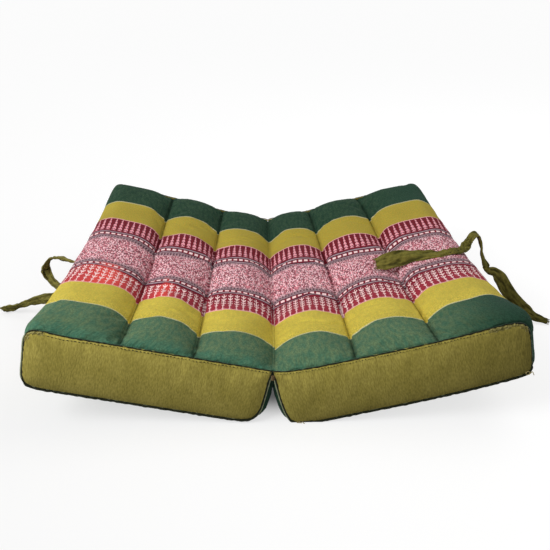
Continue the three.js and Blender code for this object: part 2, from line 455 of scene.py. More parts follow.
def stitch_tree(thread: Finish) -> NodeTree:
    """A tree that lays thread stitches along edges.

    Args:
        thread: the stitches' finish.

    Returns:
        The tree, with inputs Pitch, Stitch, Thread, Wander and Seed.
    """
    tree = Tree("StitchRow", Pitch=0.004, Stitch=0.003, Thread=0.0008, Wander=0.12, Seed=SEED)
    thick, long = tree.given["Thread"], tree.given["Stitch"]
    bead = tree.value("MeshUVSphere", {"Segments": 6, "Rings": 4, "Radius": 0.5})
    shape = tree.value("ShaderNodeCombineXYZ", {0: thick, 1: thick, 2: long})
    stitch = tree.value("Transform", {"Geometry": bead, "Scale": shape})
    spots = tree.spots()
    astray = tree.value("FunctionNodeEulerToRotation", {"Euler": tree.stray("Wander")})
    feeds = {"Rotation": spots.outputs["Rotation"], "Rotate By": astray}
    turn = tree.value("FunctionNodeRotateRotation", feeds, rotation_space="LOCAL")
    sizes = {0: (0.8, 0.8, 0.55), 1: (1.15, 1.15, 1.25), "Seed": SEED}
    size = tree.value("FunctionNodeRandomValue", sizes, data_type="FLOAT_VECTOR")
    return tree.planted(spots, stitch, turn, size, thread)


def piping_tree(finish: Finish) -> NodeTree:
    """A tree that runs a round roll along edges, by their radius_m mark.

    Args:
        finish: the roll's material.

    Returns:
        The tree, with input Sides.
    """
    tree = Tree("Piping", Sides=8)
    radius = tree.value("InputNamedAttribute", {"Name": "radius_m"}, data_type="FLOAT")
    return tree.end(tree.rolled(tree.line, tree.given["Sides"], 1.0, radius), finish)


def fray_tree(finish: Finish) -> NodeTree:
    """A tree that grows loose bent threads from a cut edge, along its outward mark.

    Args:
        finish: the threads' material.

    Returns:
        The tree, with inputs Pitch, Reach, Thread, Spread and Seed.
    """
    tree = Tree("Fray", Pitch=0.0007, Reach=0.005, Thread=0.0003, Spread=0.5, Seed=SEED)
    handles = {"Start Handle": (0.1, 0, 0.35), "End Handle": (0.25, 0.05, 0.6)}
    feeds = {"Resolution": 6, "Start": (0, 0, 0), "End": (0.1, 0.2, 1), **handles}
    bend = tree.value("CurvePrimitiveBezierSegment", feeds)
    reach = Signal(tree, tree.given["Reach"])
    strand = tree.rolled(bend, 5, 0.5, Signal(tree, tree.given["Thread"]) / reach)
    out = tree.value("InputNamedAttribute", {"Name": "outward"}, data_type="FLOAT_VECTOR")
    way = tree.value("ShaderNodeVectorMath", {0: out, 1: tree.stray("Spread")}, operation="ADD")
    turn = tree.value("FunctionNodeAlignRotationToVector", {"Vector": way}, axis="Z")
    share = tree.value("FunctionNodeRandomValue", {2: 0.35, 3: 1.0, "Seed": 5}, 1, data_type="FLOAT")
    return tree.planted(tree.spots(), strand, turn, share * reach, finish)


def grown(
    name: str, tree: NodeTree, lines: Lines, marks: Marks, closed: bool = False, **inputs: float
) -> Thing:
    """Runs a tree along lines and keeps its result as a plain mesh, with nothing under the floor.

    Args:
        name: the piece's name.
        tree: the Geometry Nodes tree.
        lines: each line's points, mm.
        marks: point attributes of the lines that the tree reads.
        closed: whether each line's end meets its start.
        inputs: values for the tree's named inputs.

    Returns:
        The linked object.
    """
    mesh = bpy.data.meshes.new(name)
    edges, start = [], 0
    for line in lines:
        index = np.arange(start, start + len(line))
        start += len(line)
        edges += list(zip(index.tolist(), np.roll(index, -1).tolist()))[: None if closed else -1]
    mesh.from_pydata((np.concatenate(lines) * MM).tolist(), edges, [])
    marked(mesh, marks)
    thing = linked(name, mesh)
    modifier = thing.modifiers.new("Grow", "NODES")
    modifier.node_group = tree
    for item in tree.interface.items_tree:
        if item.in_out == "INPUT" and item.name in inputs:
            modifier[item.identifier] = inputs[item.name]
    result = bpy.data.meshes.new_from_object(thing.evaluated_get(bpy.context.evaluated_depsgraph_get()))
    thing.modifiers.remove(modifier)
    places = np.empty(len(result.vertices) * 3, np.float32)
    result.vertices.foreach_get("co", places)
    places[2::3] = np.maximum(places[2::3], CLEAR / 2 * MM)
    result.vertices.foreach_set("co", places)
    thing.data = result
    return thing


def rolled(name: str, tree: NodeTree, lines: Lines, radii: Lines, sides: int, closed: bool = False) -> Thing:
    """Grows rolls of cloth or thread of those radii, in mm, along lines."""
    return grown(name, tree, lines, {"radius_m": np.concatenate(radii) * MM}, closed, Sides=sides)


def sewn(name: str, tree: NodeTree, lines: Lines, sizes: Triple, wander: float = 0.12) -> Thing:
    """Grows a row of stitches along each line, with their pitch, length and thickness in mm."""
    pitch, stitch, thread = (size * MM for size in sizes)
    return grown(name, tree, lines, {}, Pitch=pitch, Stitch=stitch, Thread=thread, Wander=wander, Seed=SEED)


# ---- Materials ----


class Graph(Kit):
    """A material's nodes round its Principled shader."""

    def __init__(self, name: str, woven: bool = True) -> None:
        """Starts a material.

        Args:
            name: its name.
            woven: whether its patterns follow the weave instead of the object's own space.
        """
        self.material = bpy.data.materials.new(name)
        self.material.use_nodes = True
        super().__init__(self.material.node_tree, "ShaderNode")
        self.place = self.value("UVMap", uv_map="Weave") if woven else self.value("TexCoord", out="Object")
        split = self.node("SeparateXYZ", {0: self.place}).outputs
        self.across, self.along = Signal(self, split[0]), Signal(self, split[1])

    def dye(self, label: str) -> Signal:
        """A point attribute of the piece."""
        return self.value("Attribute", out="Fac", attribute_name=label)

    def blend(self, share: object, a: object, b: object, how: str = "MIX") -> Signal:
        """Colour a turned into b by share."""
        return self.value("Mix", {0: share, 6: a, 7: b}, 2, data_type="RGBA", blend_type=how)

    def within(self, value: Signal, low: object, high: object) -> Signal:
        """1 where value lies between low and high, else 0."""
        return (value > low) * (value < high)

    def ramp(self, value: Signal, low: float, high: float) -> Signal:
        """0 below low, 1 above high, smooth between."""
        feeds = {"Value": value, "From Min": low, "From Max": high}
        return self.value("MapRange", feeds, interpolation_type="SMOOTHSTEP")

    def noise(self, scale: tuple[float, ...], detail: float = 2.0) -> Signal:
        """Noise from 0 to 1 with its own scale on each axis."""
        put = self.value("Mapping", {"Vector": self.place, "Scale": (*scale, 1)[:3]})
        return self.value("TexNoise", {"Vector": put, "Scale": 1.0, "Detail": detail})

    def speckle(self, scale: Pair, depth: float) -> Signal:
        """A factor round 1 that flecks a cloth with lighter and darker threads."""
        return self.ramp(self.noise(scale, 1.0), 0.3, 0.7) * (2 * depth) + (1 - depth)

    def toned(self, colour: object, tone: object) -> Signal:
        """The colour times a grey factor."""
        return self.blend(1.0, colour, self.value("CombineXYZ", {0: tone, 1: tone, 2: tone}), "MULTIPLY")

    def threads(self, pitch: float) -> Signal:
        """The relief of crossing threads with that pitch in mm."""
        waves = [self.math("SINE", axis * (2 * math.pi / MM / pitch)) for axis in (self.across, self.along)]
        return waves[0] * waves[1] * 0.25

    def finish(
        self, colour: object, height: object, depth: float, rough: float = 0.9, sheen: float = 0.03
    ) -> Finish:
        """Joins colour, bump and roughness to the shader.

        Args:
            colour: the base colour.
            height: the relief, from 0 to 1.
            depth: how deep a full step of the relief is, metres.
            rough: the roughness.
            sheen: the weight of the fuzz's sheen.

        Returns:
            The finished material.
        """
        looks = {
            "Base Color": colour,
            "Normal": self.value("Bump", {"Strength": 1.0, "Distance": depth, "Height": height}),
            "Roughness": rough,
            "Sheen Weight": sheen,
            "Sheen Roughness": 0.5,
            "Sheen Tint": (1.0, 1.0, 1.0, 1.0),
            "Specular IOR Level": 0.08,
        }
        for label, value in looks.items():
            self.feed(self.tree.nodes["Principled BSDF"].inputs[label], value)
        return self.material


class CoverCloth(Graph):
    """The striped cover: plain bands, two bands of leaf sprigs and a woven lattice between borders.

    Bands are measured from the middle of the cloth outwards, in mm.
    """

    centre: float = 60.5
    border: float = 95.5
    sprigs: Pair = (162, 152)  # where the sprigs end, in front and at the back
    plain: Pair = (256, 237)  # where the lime ends, in front and at the back
    sprig_edge: Pair = (-1.4, 1.4)
    sprig_pitch: float = 12.7
    stem: Pair = (0.75, 2.0)  # half as thick, and where it starts
    leaf_start: float = 1.5
    leaf_reach: float = 4.6
    leaf_taper: float = -0.066
    leaf_pitch: Pair = (10.6, 11.6)
    leaf_thick: Pair = (3.8, 7.6)
    leaf_end: Pair = (47.0, 49.5)
    foot: Pair = (48.0, 64.0)
    foot_pitch: float = 13.0
    foot_size: Pair = (2.6, 3.0)  # its reach, and how thick it is
    dash_pitch: float = 12.2
    dash_half: float = 3.9
    dash: Pair = (15.6, 22.0)  # from the border's start to its end, as the next four
    dash_ground: Pair = (13.4, 23.8)
    lines: tuple[Pair, Pair] = ((26.4, 29.6), (8.8, 11.0))
    specks: Pair = (0.6, 6.0)
    greyed: float = 7.4
    edging: float = 32.0
    speck_pitch: float = 6.4
    speck_half: float = 1.7
    diamond: Pair = (6.35, 12.4)
    petal_reach: float = 0.44  # as a share of the diamond, as the next one
    rim_reach: float = 0.64
    lattice_end: Pair = (48.0, 60.0)
    thread_float: Pair = (2.7, 6.2)
    lime_edge: Pair = (-1.6, 1.4)
    worn_end: Pair = (325.0, 358.0)
    gathered_end: Pair = (336.0, 356.0)
    green: Colour = rgb(70, 106, 82)
    green_warm: Colour = rgb(98, 120, 86)
    green_edge: Colour = rgb(60, 114, 94)
    green_far: Colour = rgb(33, 62, 46)
    green_far_shot: Colour = rgb(50, 76, 55)
    # painted shade colour for the green
    green_deep: Colour = rgb(38, 68, 52)
    lime: Colour = rgb(216, 195, 74)
    lime_warm: Colour = rgb(192, 174, 68)
    lime_far: Colour = rgb(184, 163, 54)
    crimson: Colour = rgb(158, 48, 62)
    maroon: Colour = rgb(134, 36, 52)
    maroon_far: Colour = rgb(116, 28, 40)
    coral: Colour = rgb(240, 82, 72)
    leaf: Colour = rgb(255, 226, 224)
    leaf_far: Colour = rgb(246, 172, 184)
    rose: Colour = rgb(218, 132, 144)
    blush: Colour = rgb(255, 222, 228)
    white: Colour = rgb(255, 226, 226)
    wine: Colour = rgb(70, 0, 20)
    ink: Colour = rgb(72, 36, 50)
    slate: Colour = rgb(166, 136, 142)
    silver: Colour = rgb(182, 156, 164)
    selvedge: Colour = rgb(206, 202, 160)
    fleck_cool: Colour = rgb(96, 150, 92)
    fleck_warm: Colour = rgb(200, 146, 84)

    def __init__(self) -> None:
        """Reads the cloth: u across it and v along it in mm, m from its middle, far 1 on its back half."""
        super().__init__("striped_cover_cloth")
        ragged = self.noise((420, 60)) * 1.6 - 0.8
        self.u = self.across * 1000.0
        self.v = self.along * 1000.0 + ragged
        self.m = abs(self.v)
        self.far = self.v > 0.0
        self.hot = self.dye("Warmth") * (1.0 - self.far)

    def halves(self, values: Pair) -> Signal:
        """The first value on the front half of the cloth, the second on its back half."""
        return self.far * (values[1] - values[0]) + values[0]

    def dressed(self) -> Finish:
        """Lays the bands over each other and finishes the cloth.

        Returns:
            The cloth's material.
        """
        sprig, motif = self.sprig_band()
        lattice, floats = self.lattice()
        beyond = self.m - self.halves(self.sprigs)
        colour = self.blend(beyond < 0.0, self.plain_bands(), sprig)
        colour = self.blend(self.m < self.border, colour, self.border_band())
        colour = self.blend(self.m < self.centre, colour, lattice)
        colour = self.blend(self.within(beyond, *self.sprig_edge) * 0.8, colour, self.leaf_far)
        depth = (self.m > self.plain[1]) * 0.1 + 0.08
        fleck = self.speckle((430, 250), 1.0) - 1.0
        colour = self.toned(colour, fleck * depth + 1.0)
        colour = self.toned(colour, self.noise((11, 13)) * 0.3 + 0.85)
        slubs = self.noise((90, 900), 3.0) + self.noise((900, 90), 3.0)
        return self.finish(colour, (motif | floats) * 0.4 + (self.threads(1.1) + slubs), 0.00035)

    def plain_bands(self) -> Signal:
        """Lime and green bands, each shot with its second thread's colour, with painted shade on the green
        where its points are marked and in the gathers by the end seams.

        Returns:
            The bands' colour.
        """
        shot = self.ramp(self.noise((150, 60), 3.0), 0.32, 0.68)
        green = self.blend(shot, self.green, self.green_warm)
        # the green turns teal towards the end seams
        green = self.blend(self.ramp(self.m, *self.worn_end) * 0.55, green, self.green_edge)
        green = self.blend(self.far, green, self.blend(shot, self.green_far, self.green_far_shot))
        # painted shade: the green darkens where its points are marked for it
        green = self.blend(self.dye("Deep"), green, self.green_deep)
        lime = self.blend(self.far, self.blend(shot * 0.5, self.lime, self.lime_warm), self.lime_far)
        hue = self.blend(self.ramp(self.noise((300, 300)), 0.35, 0.65), self.fleck_cool, self.fleck_warm)
        lime = self.blend(self.halves((0.12, 0.2)), lime, hue)
        beyond = self.m - self.halves(self.plain)
        colour = self.blend(beyond < 0.0, green, lime)
        # painted shade in the gathers by the end seams
        gather = self.ramp(self.noise((190, 16)), 0.56, 0.72) * self.ramp(self.m, *self.gathered_end)
        colour = self.blend(gather * 0.55, colour, self.green_far)
        return self.blend(self.within(beyond, *self.lime_edge) * 0.75, colour, self.selvedge)

    def sprig_band(self) -> tuple[Signal, Signal]:
        """Leaf sprigs on crimson.

        Returns:
            The band's colour, and 1 where the sprigs float over the ground.
        """
        x = self.u.swing(self.sprig_pitch / 2)
        w = self.m - self.border
        stem = (x < self.stem[0]) * (w > self.stem[1])
        reach = w * self.far * self.leaf_taper + self.leaf_reach
        slant = (x * 1.25 + w) % self.halves(self.leaf_pitch)
        leaf = (slant < self.halves(self.leaf_thick)) * (x < reach)
        leaf = leaf * self.within(w, self.leaf_start, self.halves(self.leaf_end))
        foot_reach, foot_thick = self.foot_size
        foot = ((x * 1.2 + w) % self.foot_pitch < foot_thick) * self.within(w, *self.foot)
        foot = foot * (x < foot_reach) * (1.0 - self.far)
        motif = stem | leaf | foot
        near = self.blend(self.ramp(w, 4.0, 50.0), self.maroon, self.crimson)
        ground = self.blend(self.hot, self.blend(self.far, near, self.maroon_far), self.coral)
        leaves = self.blend(self.far, self.leaf, self.leaf_far)
        return self.blend(motif * 0.92, ground, leaves), motif * (self.m < self.sprigs[1])

    def border_band(self) -> Signal:
        """A row of dashes between pale and dark lines, beside a greyed strip with dark specks.

        Returns:
            The border's colour.
        """
        b = self.m - self.centre
        dash = (self.u.swing(self.dash_pitch / 2) < self.dash_half) * self.within(b, *self.dash)
        speck = (self.u.swing(self.speck_pitch / 2) < self.speck_half) * self.within(b, *self.specks)
        pale = self.within(b, *self.lines[0]) | self.within(b, *self.lines[1])
        ground = self.blend(self.within(b, *self.dash_ground), self.ink, self.maroon)
        ground = self.blend(b > self.edging, ground, self.maroon)
        ground = self.blend(self.ramp(self.hot, 0.6, 0.9) * 0.8, ground, self.coral)
        ground = self.blend(b < self.greyed, ground, self.slate)
        ground = self.blend(speck * 0.9, ground, self.ink)
        return self.blend(dash, self.blend(pale, ground, self.silver), self.white)

    def lattice(self) -> tuple[Signal, Signal]:
        """Diamonds of dark floats with a pale flower in each.

        Returns:
            The lattice's colour, and 1 on its dark floats.
        """
        a, b = (axis.swing(size) / size for axis, size in zip((self.u, self.v), self.diamond))
        s = a + b
        s = s & (2.0 - s)
        petal, edge = s < self.petal_reach, self.within(s, self.petal_reach, self.rim_reach)
        across, along = (axis / size for axis, size in zip((self.u, self.v), self.thread_float))
        slants = (across + along, across - along)
        cell = self.value("CombineXYZ", {i: self.math("FLOOR", slant) for i, slant in enumerate(slants)})
        chance = self.value("TexWhiteNoise", {"Vector": cell}, "Value", noise_dimensions="2D")
        whole = self.ramp(slants[0].swing(0.5) & slants[1].swing(0.5), 0.02, 0.1)
        dark = (chance < edge * 0.24 + (petal * -0.2 + 0.36)) * whole
        pale = (chance > edge * 0.14 + (petal * -0.3 + 0.68)) * whole
        colour = self.blend(pale, self.rose, self.blush)
        colour = self.blend(pale * petal * 0.7, colour, self.white)
        colour = self.blend(dark * 0.86, colour, self.wine)
        return self.blend(self.ramp(self.m, *self.lattice_end) * 0.45, colour, self.slate), dark


@dataclass(frozen=True)
class PlainCloth:
    """A plain cotton in two close tones with dark slubs, with painted shade over its first 100 mm and where
    its points are marked for it, and a painted highlight along its top edge.
    """

    name: str
    colour: Colour
    second: Colour
    dark: Colour
    slub: Pair = (300, 60)
    shaded: Pair = (1.0, 1.0)
    relief: float = 0.0003
    edge_light: float = 0.0

    def material(self) -> Finish:
        """Builds the cloth's look.

        Returns:
            The material.
        """
        g = Graph(self.name)
        slub = g.noise(self.slub, 3.0)
        cross = g.noise((self.slub[1] * 2, self.slub[0] * 2), 3.0)
        colour = g.blend(g.ramp(g.noise((16, 16), 3.0), 0.35, 0.65), self.colour, self.second)
        colour = g.blend(g.ramp(slub, 0.42, 0.72) * 0.6, colour, self.dark)
        colour = g.blend(g.ramp(cross, 0.55, 0.8) * 0.3, colour, self.dark)
        colour = g.toned(colour, g.speckle((520, 170), 0.15))
        # painted highlight along the turned top edge
        colour = g.toned(colour, (g.along < 0.0026) * self.edge_light + 1.0)
        # painted shade where the points are marked for it
        colour = g.toned(colour, g.dye("Crease") * -0.62 + 1.0)
        # painted shade: lighter at the start of the first 100 mm, darker by its end
        shade = {"To Min": self.shaded[0], "To Max": self.shaded[1]}
        fall = g.value("MapRange", {"Value": g.along, "From Min": 0.0, "From Max": 0.1, **shade})
        colour = g.toned(colour, fall)
        return g.finish(colour, g.threads(1.0) + (slub + cross), self.relief)


@dataclass(frozen=True)
class Thread:
    """Sewing thread or yarn, with its twist as a fine relief on object coordinates."""

    name: str
    colour: Colour
    second: Colour
    fineness: float = 1800

    def material(self) -> Finish:
        """Builds the thread's look.

        Returns:
            The material.
        """
        g = Graph(self.name, woven=False)
        twist = g.noise((self.fineness,) * 3)
        colour = g.blend(g.ramp(twist, 0.35, 0.65), self.colour, self.second)
        return g.finish(colour, twist, 0.0001, 0.75, 0.1)


class Workshop:
    """Every finish, and the trees that sew and trim with them, made once."""

    def __init__(self) -> None:
        """Makes cloths first, then threads and trees."""
        olive = (rgb(162, 149, 74), rgb(150, 138, 65), rgb(122, 112, 48))
        pale_tie = (rgb(138, 132, 66), rgb(122, 116, 56), rgb(84, 78, 34))
        tie = (rgb(130, 122, 57), rgb(108, 104, 46), rgb(66, 65, 28))
        turned = (rgb(160, 164, 134), rgb(130, 138, 108), rgb(76, 84, 58))
        dark = Thread("dark_green_thread", rgb(34, 38, 18), rgb(20, 24, 12)).material()
        pale = Thread("pale_olive_thread", rgb(186, 172, 116), rgb(120, 104, 62)).material()
        brown = Thread("brown_knot_thread", rgb(122, 100, 66), rgb(62, 50, 32)).material()
        crumple = Thread("crumpled_panel_cloth", rgb(156, 146, 88), rgb(98, 92, 44), 320).material()
        shade = {"slub": (560, 60), "shaded": (1.14, 0.78), "relief": 0.00016, "edge_light": 0.35}
        self.cover = CoverCloth().dressed()
        self.panel = PlainCloth("olive_panel_cloth", *olive, **shade).material()
        self.strap = PlainCloth("olive_strap_cloth", *tie).material()
        self.strap_left = PlainCloth("olive_strap_cloth_pale", *pale_tie).material()
        self.stitch = stitch_tree(dark)
        self.welt = piping_tree(PlainCloth("turned_seam_cloth", *turned, (300, 300)).material())
        self.seam = piping_tree(dark)
        self.bunch = piping_tree(crumple)
        self.loose_end = piping_tree(pale)
        self.bartack = piping_tree(brown)
        self.fray = fray_tree(self.strap)


# ---- The cushion's shape ----


class Way(Enum):
    """A named direction, with its sign or place as its value."""

    @property
    def label(self) -> str:
        """Its name as the pieces' names spell it."""
        return self.name.lower()


class Side(Way):
    """Which half a piece belongs to, with its sign along X."""

    LEFT = -1
    RIGHT = 1


class End(Way):
    """Which end of the tubes a piece belongs to, with its sign along Y."""

    FRONT = -1
    BACK = 1


class CutEnd(Way):
    """Which of a strap's ends is cut and frays, with its row."""

    START = 0
    FINISH = -1


@dataclass(frozen=True)
class Build:
    """Sizes that both halves share, in mm and radians."""

    depth: float = 720
    width: float = 380
    thickness: float = 100
    rest_angle: float = math.radians(13.2)
    hinge_height: float = 88
    hinge_gap: float = 2
    skew: float = 9
    skew_reach: float = 130
    seam_sink: float = 34
    hinge_sink: float = 25
    tube_crown: float = 19.5
    belly_crown: float = 15
    belly_sag: float = 4
    crown_reach: Pair = (17, 13)  # in front and at the back
    back_notch: float = 4.2
    notch_reach: float = 12
    corner_reach: float = 38
    corner_middle: float = 0.5
    waist: float = -2
    pull_reach: float = 70
    inner_bulge: float = 4
    cover_end: float = 357.7
    lift_front: float = 9.8
    lift_back: float = 3.2
    lift_reach: float = 75
    lift_run: Pair = (-100, 460)  # from where the back end sinks, and over how far
    raised_back: float = 5.5
    raised_out: Pair = (90, 120)
    raised_along: Pair = (60, 300)
    inner_reach: float = 26
    flare_reach: float = 45
    draw_reach: float = 10
    taper_reach: float = 22
    side_swell: float = 11.5
    swell_rise: float = 4
    swell_fall: float = 70

    @property
    def reach(self) -> float:
        """From the middle of the tubes to either end panel."""
        return self.depth / 2

    def front(self, y: Array) -> Array:
        """How far y lies behind the front panel."""
        return y + self.reach

    def back(self, y: Array) -> Array:
        """How far y lies before the back panel."""
        return self.reach - y

    def end(self, y: Array) -> Array:
        """How far y lies from the nearer end panel."""
        return self.reach - np.abs(y)

    def middleness(self, y: Array) -> Array:
        """0 at both end panels, 1 halfway along."""
        return np.sin(math.pi * self.end(y) / self.depth)

    def sink(self, y: Array) -> Array:
        """How far the seams have sunk at y, from 0 to 1."""
        return self.middleness(y) ** 0.9

    def inner_swell(self, y: float) -> float:
        """How far the cover swells into the hinge's gap just behind an end seam."""
        end = self.end(y)
        return self.side_swell * (1 - fade(end, self.swell_rise)) * fade(end, self.swell_fall)

    def hinge_x(self, y: Array) -> Array:
        """Where the hinge line lies across the part."""
        return -self.skew * fade(self.front(y), self.skew_reach)

    def hinge_lift(self, y: Array) -> Array:
        """How far the hinge stands above its even height: up at the front, down at the back."""
        raised = self.lift_front * fade(self.front(y), self.lift_reach)
        return raised - self.lift_back * climb(y, *self.lift_run)


@dataclass(frozen=True)
class Lift:
    """A rise of a half's outer part towards one of its ends."""

    height: float
    start: float  # how far out it starts
    run: float  # over how far it reaches its height
    reach: float  # how far it goes in from the end
    depth: float = math.inf  # how far down it goes
    power: float = 2
    top: float = 1.1

    def at(self, across: Array, down: Array, end: Array) -> Array:
        """The rise at places across and down the tilted half, that far from its end."""
        share = climb(across, self.start, self.run, self.top) ** self.power
        return self.height * share * fade(end, self.reach) * wane(down, self.depth)


@dataclass
class Half:
    """One half of the cushion, with the left one's sizes: its cover, its end panels and their seams.

    Sizes are in mm; the rounds are powers of superellipses, smaller for a squarer corner.
    """

    shop: Workshop
    side: Side = Side.LEFT
    seams_front: Pair = (0.345, 0.658)  # shares of the half's width
    seams_back: Pair = (0.315, 0.654)
    bulge: float = 19
    pull_back: float = 3
    draw_in: float = 7
    back_taper: float = 6
    flare: float = 0
    inner_round: float = 0.5
    inner_lean: float = 0
    outer_round: float = 0.36
    over_round: float = 0.34
    over_round_back: float = 0.16
    upturn: Lift = Lift(0, 200, 180, 130)
    ear: Lift = Lift(-1, 290, 80, 22, 60, top=1)
    front_ear: Lift = Lift(8, 318, 66, 22, 50, power=1.5)
    band_shift: float = -2
    band_stretch: float = 1.0
    outer_shade: float = 0
    fold_from: float = 352
    stitch_sizes: Triple = (5.8, 3.8, 1.4)
    tie_inset: float = 9
    build: Build = field(default_factory=Build)
    top_steps: int = 22
    corner_steps: int = 10
    end_rows: tuple[float, ...] = (0, 1.2, 2.6, 4.4, 7, 10, 14, 19, 25)
    row_step: float = 6.5
    swell_cap: float = 6.0
    lag: float = 12
    inner_slip: Pair = (-75, 45)  # where bands have slipped, and how far about
    outer_slip: Pair = (-345, 48)
    early_slip: Pair = (-95, 35)
    coral: tuple[Triple, ...] = ((0.85, -312, 48), (0.74, -206, 19))  # share, place and reach
    # where painted shade darkens the cover's inner side, facing the hinge's gap
    gap: tuple[Pair, Pair] = ((40, 30), (76, 6))  # across and up
    # painted shade on the right half's outer tube: where it starts across the part, and over how far it
    # deepens
    far_out: Pair = (220, 150)
    # painted shade on the right panel's outer part: where it starts across the panel, and over how far it
    # deepens
    worn: Pair = (210, 170)
    lumps: Ripples = Ripples(0, (80, 110), 0.8)
    pulls: Ripples = Ripples(20, (60, 12), 0.8, 14)
    tucks: Ripples = Ripples(40, (15, 90), 1.5, 14)
    lump_end: float = 25  # how near an end the lumps die away
    pull_seam: float = 7
    pull_end: float = 8
    tuck_end: float = 9
    calm: float = 3  # how near a seam the cloth lies still
    channel_dent: Pair = (4.0, 3.4)  # how deep, and how wide
    end_dent: Pair = (2.4, 2.4)
    panel_grid: tuple[int, int] = (44, 150)
    dome: Pair = (6.0, 12)  # how high, and how near the edge it rises
    lip: Triple = (1.3, 1.2, 1.3)  # how high, how far from the edge, and how wide
    groove: Triple = (-0.9, 3.6, 1.2)
    folds: Ripples = Ripples(60, (24, 140), 0.75, 12)
    swells: Ripples = Ripples(67, (90, 60), 0.45)
    puckers: Ripples = Ripples(69, (9, 60), 0.35, 12)
    fold_reach: float = 45
    pucker_reach: float = 9
    calm_edge: float = 5
    panel_belly: float = 1.2
    rims: tuple[Pair, ...] = ((0.35, 0.2), (1.0, -0.3), (1.0, -1.4), (0.5, -2.1))
    welt_inner: Pair = (25, 20)
    welt_outer: Pair = (350, 20)
    welt_waves: Ripples = Ripples(0, (60, 9), 0.14)
    thread_swells: Ripples = Ripples(30, (23, 8), 0.35)
    thread_waves: Ripples = Ripples(31, (17, 6), 0.4)
    stitch_waves: Ripples = Ripples(0, (50, 14), 0.7)
    stitch_drop: Triple = (2.6, 290, 70)  # how far, from where and over how far
    bunches: tuple[Triple, ...] = ((1.2, 1.4, 1.9), (4.6, 2.0, 1.5))  # inset, beyond, thickness
    bunch_waves: Ripples = Ripples(70, (9, 5), 1.1)
    bunch_swells: Ripples = Ripples(71, (6, 4), 0.5)

    @property
    def name(self) -> str:
        """left or right."""
        return self.side.label

    @property
    def left(self) -> bool:
        """Whether this is the left half."""
        return self.side is Side.LEFT

    @cached_property
    def seams(self) -> list[EndSeam]:
        """The seams round the front and the back panel."""
        return [EndSeam(self, end) for end in End]

    def half_width(self, y: float) -> float:
        """How wide the half is at one place.

        Args:
            y: place along the tubes, mm.

        Returns:
            From the hinge to the outer end seam, mm.
        """
        b = self.build
        pull = self.pull_back * fade(b.back(y), b.pull_reach)
        return b.width - pull - self.side.value * b.hinge_x(y) / math.cos(b.rest_angle)

    def channel_seams(self, y: float) -> list[float]:
        """Where the two channel seams lie across the half at y."""
        along = y / self.build.depth + 0.5
        return [mix(f, k, along) * self.half_width(y) for f, k in zip(self.seams_front, self.seams_back)]

    def outer_side(self, y: float) -> float:
        """How far the outer side reaches at half its height; its end seams draw it in.

        Args:
            y: place along the tubes, mm.

        Returns:
            The reach from the hinge, mm.
        """
        b = self.build
        drawn = self.flare * fade(b.end(y), b.flare_reach) - self.draw_in * fade(b.end(y), b.draw_reach)
        drawn -= self.back_taper * fade(b.back(y), b.taper_reach)
        return self.half_width(y) + self.bulge - b.waist * b.middleness(y) + drawn

    @staticmethod
    def arc(start: Pair, end: Pair, crown: float, steps: int, turn: Pair = (-1, 1)) -> Array:
        """A tube's rounded top or belly between two seams.

        Args:
            start: where it starts, as (across, down).
            end: where it ends.
            crown: how far it rises between them.
            steps: how many points it gets.
            turn: from where to where on the round: -1 is one seam, 1 the other.

        Returns:
            Its points but the last, as (across, down).
        """
        u = -np.cos(mix(math.acos(-turn[0]), math.acos(-turn[1]), np.arange(steps) / steps))
        share = (u + 1) / 2
        down = mix(start[1], end[1], share) - crown * np.maximum(0, 1 - u * u) ** 0.72
        return np.stack([mix(start[0], end[0], share), down], axis=-1)

    @staticmethod
    def corner(middle: Pair, reach: Pair, power: float, start: float, steps: int) -> Array:
        """A quarter of a superellipse, clockwise.

        Args:
            middle: its centre, as (across, down).
            reach: its half width and half height.
            power: 1 for a round corner, less for a square one.
            start: where it starts, degrees.
            steps: how many points it gets.

        Returns:
            Its points but the last, as (across, down).
        """
        angle = np.radians(start - 90 * np.arange(steps) / steps)
        across = middle[0] + reach[0] * signed(np.cos(angle), power)
        return np.stack([across, middle[1] - reach[1] * signed(np.sin(angle), power)], axis=-1)

    def columns(self, fine: int) -> tuple[int, int, int]:
        """The steps of one tube's top, of all the tops, and of half a corner."""
        n = self.top_steps * fine
        return n, 2 * n + n // 2, self.corner_steps * fine

